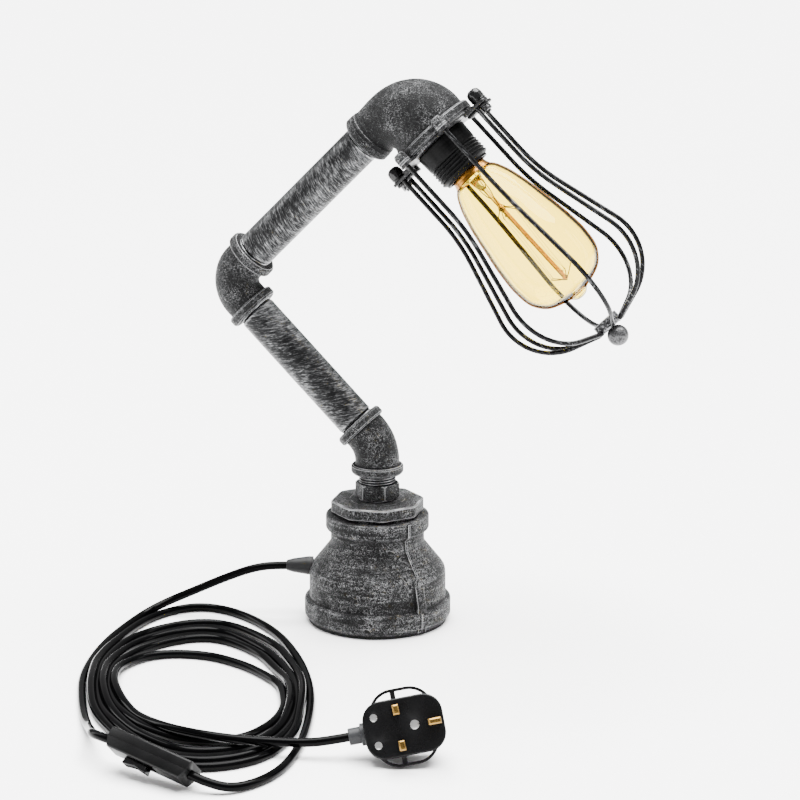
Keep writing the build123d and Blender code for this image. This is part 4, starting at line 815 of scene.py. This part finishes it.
# ---- holder and bulb
RIDGE_FOOT, RIDGE_PITCH, RIDGE_COUNT = 50.04, 2.512, 5
RIDGES = [(18.8, RIDGE_FOOT)]
for i in range(RIDGE_COUNT):
    z = RIDGE_FOOT + i * RIDGE_PITCH
    RIDGES += [(20, z + 1.13, 0.55), (18.75, z + 2.26, 0.35)]
HOLDER = soften([
    (5.1, 25.3), (18, 25.3, 0.4), (18, 36.6), (19.6, 36.7, 0.3), (20, 37.3, 0.3), (19.5, 49, 0.5),
    *RIDGES, (17.5, 63.2, 0.3), (17.4, 64.6, 0.4), (15.2, 64.6), (15.2, 38.7), (5.1, 38.7)])
piece(lathe("holder_shell", dense(HOLDER, 1.4), AT_HEAD, 112), "head", "lamp_holder",
      mat=holder_black("holder_matt"))


def cap_outline():
    """Brass cap of the bulb: contact cone, four turns of round thread, lip round the glass."""
    per_turn, pitch = 8, 4.05
    out = [(4.4, 42.2), (10.2, 43.8, 0.8), (12.4, 45.6, 0.6)]
    for k in range(4 * per_turn + 1):
        out.append((12.75 + 0.45 * sin(2 * pi * k / per_turn), 46.4 + pitch * k / per_turn))
    out += [(13.2, 63.6, 0.3), (13.9, 67.2, 0.4), (14.7, 69.2, 0.4), (15.2, 70, 0.2)]
    inner = [
        (14.9, 70.1), (14.3, 69.4), (13.45, 67.3), (12.8, 63.7), (12, 62.6), (12, 45.9),
        (10, 44.3), (4.4, 42.6)]
    return dense(soften(out, 3) + inner, 1.2)


piece(lathe("cap_collar", cap_outline(), AT_HEAD, 96), "head", "bulb_cap",
      mat=bare_metal("collar_brass", (0.36, 0.155, 0.025), 0.26, 500))

GLASS_FOOT, GLASS_WALL = 68.2, 0.8
GLASS = [
    (13, 0), (16.6, 3.4), (20.7, 11), (24.6, 23.5), (28.4, 43), (31.6, 64), (32.4, 80),
    (29.9, 94), (23, 102.6), (13, 107), (6.8, 108.8), (4.6, 110.8), (0, 112)]


def smooth_line(points, first, last, steps):
    """Hermite curve through points, with the end tangents given as directions."""
    n = len(points)
    chord = [max(hypot(b[0] - a[0], b[1] - a[1]), 1e-6) for a, b in zip(points, points[1:])]
    tangents = [first]
    for i in range(1, n - 1):
        u, v = chord[i - 1], chord[i]
        p, q, r = points[i - 1:i + 2]
        tangents.append([(v * (q[k] - p[k]) / u + u * (r[k] - q[k]) / v) / (u + v) for k in (0, 1)])
    tangents.append(last)
    out = []
    for i in range(n - 1):
        a, b, u, v = points[i], points[i + 1], tangents[i], tangents[i + 1]
        for j in range(steps):
            t = j / steps
            h = (2 * t ** 3 - 3 * t * t + 1, t ** 3 - 2 * t * t + t, 3 * t * t - 2 * t ** 3,
                 t ** 3 - t * t)
            out.append(tuple(h[0] * a[k] + h[1] * chord[i] * u[k] + h[2] * b[k]
                             + h[3] * chord[i] * v[k] for k in (0, 1)))
    return out + [points[-1]]


def glass_rows():
    """Outline of the bulb's glass, up the outside and down the inside."""
    line = smooth_line(GLASS, (0.62, 0.78), (-1, 0), 9)
    inner = []
    for i, (r, z) in enumerate(line):
        a, b = line[max(i - 1, 0)], line[min(i + 1, len(line) - 1)]
        d = Vector((b[0] - a[0], b[1] - a[1])).normalized()
        inner.append((max(r - GLASS_WALL * d.y, 0), z + GLASS_WALL * d.x))
    inner[-1] = (0, 111.1)
    outer = [(13, -1.2)] + line
    inside = [(12.2, -1.2)] + [p for p in inner if p[0] > 0 or p is inner[-1]]
    return [(r, z + GLASS_FOOT) for r, z in outer + inside[::-1]]


# pieces with neither edge wear nor painted shade
NO_WEAR_OR_SHADING = {"smooth": 60, "with_wear_and_shading": False}
piece(lathe("bulb_envelope", glass_rows(), AT_HEAD, 128, **NO_WEAR_OR_SHADING), "head", "bulb_glass")

HUB, END = 98.7, 163.2  # the rod's two beads, each with a ring of hooks
STEM = soften([
    (0, 68.6), (11.2, 68.6), (11.9, 68.1, 0.2), (11.8, 69, 0.4), (5, 71.2, 2.5), (3.3, 79, 1.5),
    (1.6, 81.4, 0.8), (1.55, 88), (1.55, 96.4, 0.5), (3, HUB, 1.2), (1.55, 101, 0.5),
    (1.5, 161.4, 0.5), (2.6, END, 0.9), (0, 165)])
piece(lathe("bulb_rod", dense(STEM, 4), AT_HEAD, 40, close=False, **NO_WEAR_OR_SHADING), "head", "bulb_stem")
WIRE_THICK, WIRE_HAIR = 0.32, 0.09  # radius of the lead wires and hooks, and of the filament


def filament_wires():
    """Lead wires, the two rings of hooks and the hair-thin filament strung between them."""
    def ring(angle, r, z):
        """Point at an angle in degrees, a distance from the axis and a height."""
        return Vector((r * cos(radians(angle)), r * sin(radians(angle)), z))

    def bow(points):
        """Smooth curve through points, eight steps to a stretch."""
        line = [points[0]]
        for i in range(len(points) - 1):
            near = [points[max(0, min(len(points) - 1, i + k))] for k in (-1, 0, 1, 2)]
            line += [between(*near, j / 8) for j in range(1, 9)]
        return line

    parts = []
    for k, angle in enumerate((40, 220)):
        parts.append(bow([ring(angle, 3.6, 72.5), ring(angle, 5.6, 78), ring(angle, 4.6, 85),
                          ring(angle, 2, 89.5)]))
        parts.append(bow([ring(angle + 20, 2, 89), ring(angle + 26, 3.4, 92),
                          ring(angle + 40, 8.6, 101.5 + 8 * k)]))
    hooks = [[], []]
    for row, (height, lean, start) in enumerate(((HUB, 6, 10), (END, -5, 46))):
        for i in range(5):
            angle = start + 72 * i
            tip = ring(angle, 8.9, height + lean)
            parts.append(bow([ring(angle, 1.5, height), ring(angle, 5.2, height + lean * 0.45), tip,
                              ring(angle + 5, 9.6, height + lean * 1.12)]))
            hooks[row].append(tip)
    wires = [rings("w", along(p, WIRE_THICK), AT_HEAD, 8, **NO_WEAR_OR_SHADING) for p in parts]
    strand = []
    for i in range(5):
        strand += [hooks[0][i], hooks[1][i]]
    for a, b in zip(strand, strand[1:]):
        mid = (a + b) / 2
        mid.x, mid.y = mid.x * 0.93, mid.y * 0.93
        wires.append(rings("w", along(bow([a, mid, b]), WIRE_HAIR), AT_HEAD, 5, **NO_WEAR_OR_SHADING))
    return join("filament_wires", wires)


piece(filament_wires(), "head", "bulb_wires",
      mat=bare_metal("support_wire", (0.11, 0.065, 0.022), 0.4))


# ---- cage
CAGE_WIRE_R = 1.63
STUD_ANGLES, OUTER_ANGLES = (60, 120), (9.33, 170.67)  # on studs, beside the thumb screws
WIRE_BLACK = worn_black("wire_rub", 0.61, (0.002, 0.002, 0.0022), (0.10, 0.102, 0.105), 0.24,
                        900, 0, 0.12, 0.09)


def wire_line(start, top):
    """Middle line of one wire in its own plane, as (distance from the axis, way along it)."""
    line = soften([(start, top), (start, 95, 130), (63.6, 191, 38.3), (9.8, 208)], 30)
    return dense(line, 1.6)


def cage_wires(name, node, side):
    """Four hammered wires; side is 1 in front and -1 at the back."""
    parts = []
    for angle in sorted(STUD_ANGLES + OUTER_ANGLES):
        if angle in STUD_ANGLES:
            start, top = STUD_REACH, 29.3
        else:
            start, top = STUD_REACH / cos(radians(OUTER_ANGLES[0])), 36.4
        line = [Vector((r, 0, z)) for r, z in wire_line(start, top)]
        hammer = [1.0 + 0.035 * noise.noise(Vector((angle * side, p.z * 0.35, 5))) for p in line]
        frames = [(c, x, y, CAGE_WIRE_R * h) for (c, x, y, _), h in zip(along(line, 1), hammer)]
        parts.append(rings("w", frames, AT_HEAD @ turn_z(angle * side), 14, uneven=0.03, grain=3))
    return piece(join(name, parts), "head", node, mat=WIRE_BLACK)


cage_wires("front_wires", "cage_wires_front", 1)
cage_wires("back_wires", "cage_wires_back", -1)

DOME = soften([
    (0, 25.7), (3.1, 25.8, 1.4), (4.45, 28.4, 2.2), (4.45, 31.7, 0.4), (4.5, 32, 0.2),
    (4.5, 34, 0.3), (1.75, 34.15), (1.75, 29.3), (0, 29.3)], 6)
domes = [lathe("w", dense(DOME, 0.8), AT_HEAD @ turn_z(s * a, STUD_REACH), 48, close=False,
               uneven=0.05, grain=4) for s in (1, -1) for a in STUD_ANGLES]
piece(join("dome_nuts", domes), "head", "cage_dome_nuts",
      mat=cast_iron("nut_skin", cover=0.01, seed=1.7))

KNOB = soften([
    (0, 26.5), (2.4, 26.55, 1), (4.6, 27.9, 1.6), (5.3, 30.6, 1.2), (5.3, 34.3, 0.3),
    (4.9, 34.7, 0.2), (4.9, 35, 0.2), (5.3, 35.3, 0.2), (5.3, 35.9, 0.2), (4.5, 36.3), (2, 36.3),
    (2, 46.1), (0, 46.1)], 6)
KNOB_BLACK = plastic("knob_gloss", (0.0015, 0.0015, 0.0016), 0.22, 900, 0.10, shine=0.3)


def knob_flutes(r, z, a):
    """Fourteen shallow flutes round a thumb screw's grip."""
    if r <= 4.8:
        return r
    grip = ease((z - 29.5) / 1.5) * (1 - ease((z - 33.6) / 0.6))
    return r * (1 - (0.010 + 0.010 * cos(14 * a)) * grip)


for node, body in (("thumb_screw_left", "thumb_left"), ("thumb_screw_right", "thumb_right")):
    lo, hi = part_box(node)
    middle = AT_HEAD.inverted() @ ((Vector(lo) + Vector(hi)) / 2)
    reach_x = SCREW_REACH if middle.x > 0 else -SCREW_REACH
    knob = lathe(node + "_knob", dense(KNOB, 0.9), AT_HEAD @ turn_z(0, reach_x), 64, knob_flutes,
                 close=False)
    piece(knob, body, node, mat=KNOB_BLACK)

NUT = soften([
    (2.1, 40.7), (3.5, 40.7, 0.2), (4.04, 41.2, 0.3), (4.04, 44.1, 0.3), (3.5, 44.6, 0.2),
    (2.1, 44.6)], 3)
nuts = [lathe("w", dense(NUT, 0.7), AT_HEAD @ turn_z(0, x), angles=corner_angles(36, 6, 0),
              shape=lambda r, z, a: min(r, polygon(a, 3.5, 6, 0, 0.1)))
        for x in (SCREW_REACH, -SCREW_REACH)]
piece(join("clamp_nuts", nuts), "head", "cage_clamp_nuts",
      mat=worn_black("nut_black", 0.56, edge=0.25))

CUP = soften([
    (0, 207.8), (8.2, 207.8, 1.2), (8.2, 201.5, 0.3), (9.6, 201.4, 0.5), (9.6, 209.2, 1.8),
    (0, 209.2)], 5)
piece(lathe("hub_cup", dense(CUP, 0.8), AT_HEAD, 72, close=False, uneven=0.05, grain=4),
      "head", "cage_hub", mat=worn_black("hub_rub", 0.54, edge=0.35))
BALL_R, BALL_Z = 7.25, 215.75
BALL = [(BALL_R * sin(radians(w)), BALL_Z - BALL_R * cos(radians(w))) for w in range(26, 181, 4)]
piece(lathe("finial_ball", [(0, BALL[0][1])] + BALL, AT_HEAD, 64, close=False, uneven=0.05, grain=5),
      "head", "cage_finial", mat=worn_black("finial_skin", 0.44, (0.018, 0.018, 0.0185),
                                            (0.085, 0.085, 0.087), 0.32, 700, 0.1))
for node in ("cage_plate_front", "cage_plate_back"):
    edge_break(node, 0.35)
    NODES[node].data.materials[0] = worn_black("plate_" + node[-5:], 0.62, (0.005, 0.005, 0.0053),
                                               (0.20, 0.20, 0.205))

# ---- strain relief, switch and plug
RELIEF = soften([
    (3, 37.7), (6.6, 37.7, 0.5), (6.6, 43), (4.6, 43), (4.6, 46.1), (6.6, 46.1), (6.6, 49.6, 0.8),
    (5.05, 60.1, 6), (3.7, 65, 0.5), (3, 65.1)])
AT_RELIEF = place((0, 0, EXIT_Z), (0, 0, 1), (cos(EXIT), sin(EXIT), 0))
piece(lathe("relief_boot", dense(RELIEF, 0.9), AT_RELIEF, 64), "base", "strain_relief",
      mat=plastic("relief_grey", (0.010, 0.010, 0.0105), 0.46, 1800, 0.1, shine=0.15))

AT_SWITCH = place((-37.774, -333.138, 12.864), (0.947, -0.29, -0.139), (-0.301, -0.647, -0.7))
ROCKER_AT = AT_SWITCH @ Matrix.Translation(Vector((-3, 0, 3.1)) * MM)


def rocker_rows():
    """Outlines of the rocker from side to side: a hollowed top with a raised rim."""
    half, width, steps = 9, 3.5, 28  # half its length, half its width, points along the top
    out = []
    for side in (-1, -0.97, -0.9, -0.80, -0.74, -0.4, 0, 0.4, 0.74, 0.80, 0.9, 0.97, 1):
        inset = 0.35 if abs(side) == 1 else 0.1 if abs(side) == 0.97 else 0.0
        hollow = 0.0 if abs(side) > 0.79 else 0.45
        row = []
        for i in range(steps + 1):
            t = i / steps * 2 - 1
            x = t * (half - inset)
            rim = ease((1 - abs(t)) / 0.10)
            nose = 0.3 if abs(t) > 0.985 else 0.0
            z = 5.0 - 1.3 * (1 - abs(t)) ** 0.9 - inset - hollow * rim - nose
            row.append((x, side * width, z))
        foot = half - 1.2 - inset
        row += [(foot, side * width, -1.0 + inset), (-foot, side * width, -1.0 + inset)]
        out.append(row)
    return out


def solid_from(name, sections, at, **more):
    """Solid through closed outlines with the same number of points, capped at both ends."""
    verts = [p for s in sections for p in s]
    n = len(sections[0])
    rows = [range(i * n, (i + 1) * n) for i in range(len(sections))]
    faces = skin(rows, False) + [tuple(rows[0]), tuple(rows[-1])]
    return make(name, verts, faces, at, **more)


piece(solid_from("rocker_key", rocker_rows(), ROCKER_AT, smooth=28), "rocker", "switch_rocker",
      mat=plastic("rocker_gloss", (0.002, 0.002, 0.0022), 0.16, shine=0.25))
EDGE_WIDTHS = {"switch_base": 0.45, "switch_cover": 0.45, "plug_base": 0.35, "plug_cover": 0.6,
               "plug_pins": 0.25, "plug_pin_sleeves": 0.15, "plug_screws": 0.2, "switch_screws": 0.2}
for node, width in EDGE_WIDTHS.items():
    edge_break(node, width)


# ---- camera, floor and light
# in metres and degrees, as found by fitting the photo's outline
SENSOR, PHOTO_PIXELS, FOCAL_PIXELS = 36.0, 800, 2697.19
CAMERA_REACH, CAMERA_BEARING, CAMERA_HEIGHT = 1.83839, 18.43, 0.62821
CAMERA_DOWN, CAMERA_TURN = 14.27, 17.93
camera_data = bpy.data.cameras.new("camera")
camera_data.sensor_width = SENSOR
camera_data.lens = FOCAL_PIXELS / PHOTO_PIXELS * SENSOR
camera_data.clip_end = 120  # past the far edge of the floor
camera = linked("camera", camera_data)
camera.location = (CAMERA_REACH * sin(radians(CAMERA_BEARING)),
                   -CAMERA_REACH * cos(radians(CAMERA_BEARING)), CAMERA_HEIGHT)
camera.rotation_euler = (radians(90 - CAMERA_DOWN), 0, radians(CAMERA_TURN))
bpy.context.scene.camera = camera


def floor_plane():
    """Wide pale floor, which the world's white meets far behind the lamp."""
    n, size = 24, 40.0  # squares along a side, half of the side in metres
    me = bpy.data.meshes.new("floor")
    verts = [((i / n - 0.5) * 2 * size, (j / n - 0.5) * 2 * size, 0.0)
             for i in range(n + 1) for j in range(n + 1)]
    faces = [(i * (n + 1) + j, (i + 1) * (n + 1) + j, (i + 1) * (n + 1) + j + 1, i * (n + 1) + j + 1)
             for i in range(n) for j in range(n)]
    me.from_pydata(verts, [], faces)
    ob = linked("floor", me)
    ob.data.materials.append(Tree("pale_floor").set(
        Base_Color=(0.95, 0.95, 0.95), Roughness=0.9, Specular_IOR_Level=0.1))


def light(name, kind, energy, location, target, size=None, angle=None):
    """Sun of an angular size, or rectangular area light of a size, aimed at a target."""
    data = bpy.data.lights.new(name, kind)
    data.energy = energy
    if kind == "AREA":
        data.shape = "RECTANGLE"
        data.size, data.size_y = size
    else:
        data.angle = radians(angle)
    ob = linked(name, data)
    ob.location = location
    ob.rotation_euler = (Vector(target) - Vector(location)).to_track_quat("-Z", "Y").to_euler()


floor_plane()
light("overhead", "SUN", 20.5, (0.15, 0.4, 3.0), (0, 0, 0), angle=60)
light("left_strip", "AREA", 21.0, (-1.7, 0.1, 0.9), (0, 0, 0.2), size=(0.5, 1.6))
light("right_strip", "AREA", 14.0, (1.6, 0.5, 1.1), (0, 0, 0.2), size=(0.5, 1.6))
world = bpy.data.worlds.new("studio")
world.use_nodes = True
background = world.node_tree.nodes["Background"]
background.inputs["Color"].default_value = (1, 1, 1, 1)
background.inputs["Strength"].default_value = 0.62
bpy.context.scene.world = world


# ---- cord, one spline from the base to the plug
FLEX_R = 2.9
F = 0.15 + FLEX_R  # height of the flex's middle line where it lies on the floor
COIL_CENTRE, COIL_TURN = (-59.3, -196.8), 18.0
COIL_FROM, COIL_TO, COIL_STEP = 135.0, 360 * 4 + 240, 22.5  # angles along the turns
COIL_SCALE, STRAY_GAP = 1.012, 8  # size of the coil; turns with more room than this stray
# the coil's outer and inner edge in sixteen directions
OUTER = (76, 81, 97, 132, 180, 160, 111, 85, 77, 79, 86, 108, 150, 141, 105, 81)
INNER = (53, 54, 55, 63, 77, 86, 77, 59, 49, 46, 48, 57, 75, 81, 69, 59)
# place of each turn across the coil's band, 1 outside and 0 inside: left, low, right, top, far left
TURNS = [
    (0.80, 0.77, 0.72, 0.78, 0.64), (0.60, 0.57, 0.51, 0.60, 0.46),
    (0.40, 0.38, 0.28, 0.40, 0.26), (0.20, 0.18, 0.0, 0.0, 0.0), (0.0, 0.0, 0.0, 0.0, 0.0)]


def reach(table, angle):
    """Smooth value between the sixteen directions of a table."""
    i = int(angle // COIL_STEP)
    return between(*(table[(i + k) % len(table)] for k in (-1, 0, 1, 2)), angle / COIL_STEP - i)


def band_place(angle):
    """Place across the band at an angle counted on through all the turns."""
    keys = [(100.0, 0.95)]
    for k, (left, low, right, top, corner) in enumerate(TURNS):
        a = 360.0 * k
        keys += [(a + 140, left), (a + 225, low), (a + 305, right), (a + 385, right),
                 (a + 435, top), (a + 452, top), (a + 475, corner)]
    for (a0, w0), (a1, w1) in zip(keys, keys[1:]):
        if a0 <= angle <= a1:
            t = (angle - a0) / (a1 - a0)
            return w0 + (w1 - w0) * t * t * (3 - 2 * t)
    return 0.0


def coil_turns():
    """Loose turns, laid inwards, nested where the coil is narrow and spread where it is wide."""
    out, angle = [], COIL_FROM
    while angle < COIL_TO:
        here = angle % 360
        turn = int((angle - 100) // 360)
        outer, inner = reach(OUTER, here), reach(INNER, here)
        band = outer - inner - 2 * FLEX_R
        spacing = band / (5 if 110 < here < 300 else 4)
        w = band_place(angle)
        stray = 0.0
        if spacing > STRAY_GAP and 0.02 < w < 0.9:
            stray = min(spacing - STRAY_GAP, 6) * 0.35 * sin(turn * 2.4 + radians(here) * 2.3)
        r = (inner + FLEX_R + w * band + stray) * COIL_SCALE
        lift = sqrt(max(0.0, (2 * FLEX_R) ** 2 - spacing ** 2)) if turn % 2 == 0 else 0.0
        a = radians(COIL_TURN + here)
        out.append((COIL_CENTRE[0] + r * cos(a), COIL_CENTRE[1] + r * sin(a), F + lift))
        angle += COIL_STEP
    return out


CORD_POINTS = [
    # out of the base and down to the coil
    (42 * cos(EXIT), 42 * sin(EXIT), EXIT_Z), (68 * cos(EXIT), 68 * sin(EXIT), EXIT_Z),
    (-84, -22.5, 36.3), (-105.5, -28.3, 28), (-128, -34.3, 17.5), (-145, -39.5, 9.8),
    (-156, -54, 5), (-160, -79, F),
    # down the left side and up into the switch
    (-160, -113, F), (-155.5, -149, F), (-146, -188, F), (-131, -222, F),
    (-116.5, -251, F + 0.3), (-102, -276, 6), (-89, -299, 13), (-80, -317, 18.8), (-55, -325.5, 18),
    (-34, -332, 14.7), (-12, -338.7, 11.5),
    # out of the switch and round the outside of the coil
    (4, -342.5, 7.8), (20, -339, F + 0.6), (32, -322, F), (37.5, -300, F), (36.8, -274, F),
    (32.5, -246, F), (25, -215, F), (12.8, -176, F), (-3, -140, F), (-24, -103, F),
    (-51, -65.5, F), (-81, -39, F), (-108, -25.5, F), (-129, -26, F), (-143.5, -41, F),
    (-152.5, -65, F), (-154.5, -96, F),
    *coil_turns(),
    # over the turns in a long low hump and into the plug
    (-54, -267.5, 8.6), (-31, -275.5, 9.8), (-6, -277.5, 9.8), (18, -275, 9.8), (40, -270.5, 9.8),
    (55.6, -267.8, 11.65), (78.4, -258.6, 16.05),
]


def cord_curve(name, points, radius):
    """Round cord along one smooth spline; points and radius in mm."""
    data = bpy.data.curves.new(name, "CURVE")
    data.dimensions = "3D"
    spline = data.splines.new("NURBS")
    spline.points.add(len(points) - 1)
    for p, q in zip(spline.points, points):
        p.co = (*(Vector(q) * MM), 1.0)
    spline.order_u = 3
    spline.use_endpoint_u = True
    spline.resolution_u = 10
    data.bevel_depth = radius * MM
    data.bevel_resolution = 8
    return linked(name, data)


flex = piece(cord_curve("flex_outside", CORD_POINTS, FLEX_R), "base",
             "cord_tube_lamp", "cord_coil", "cord_tube_plug", "switch_flex")
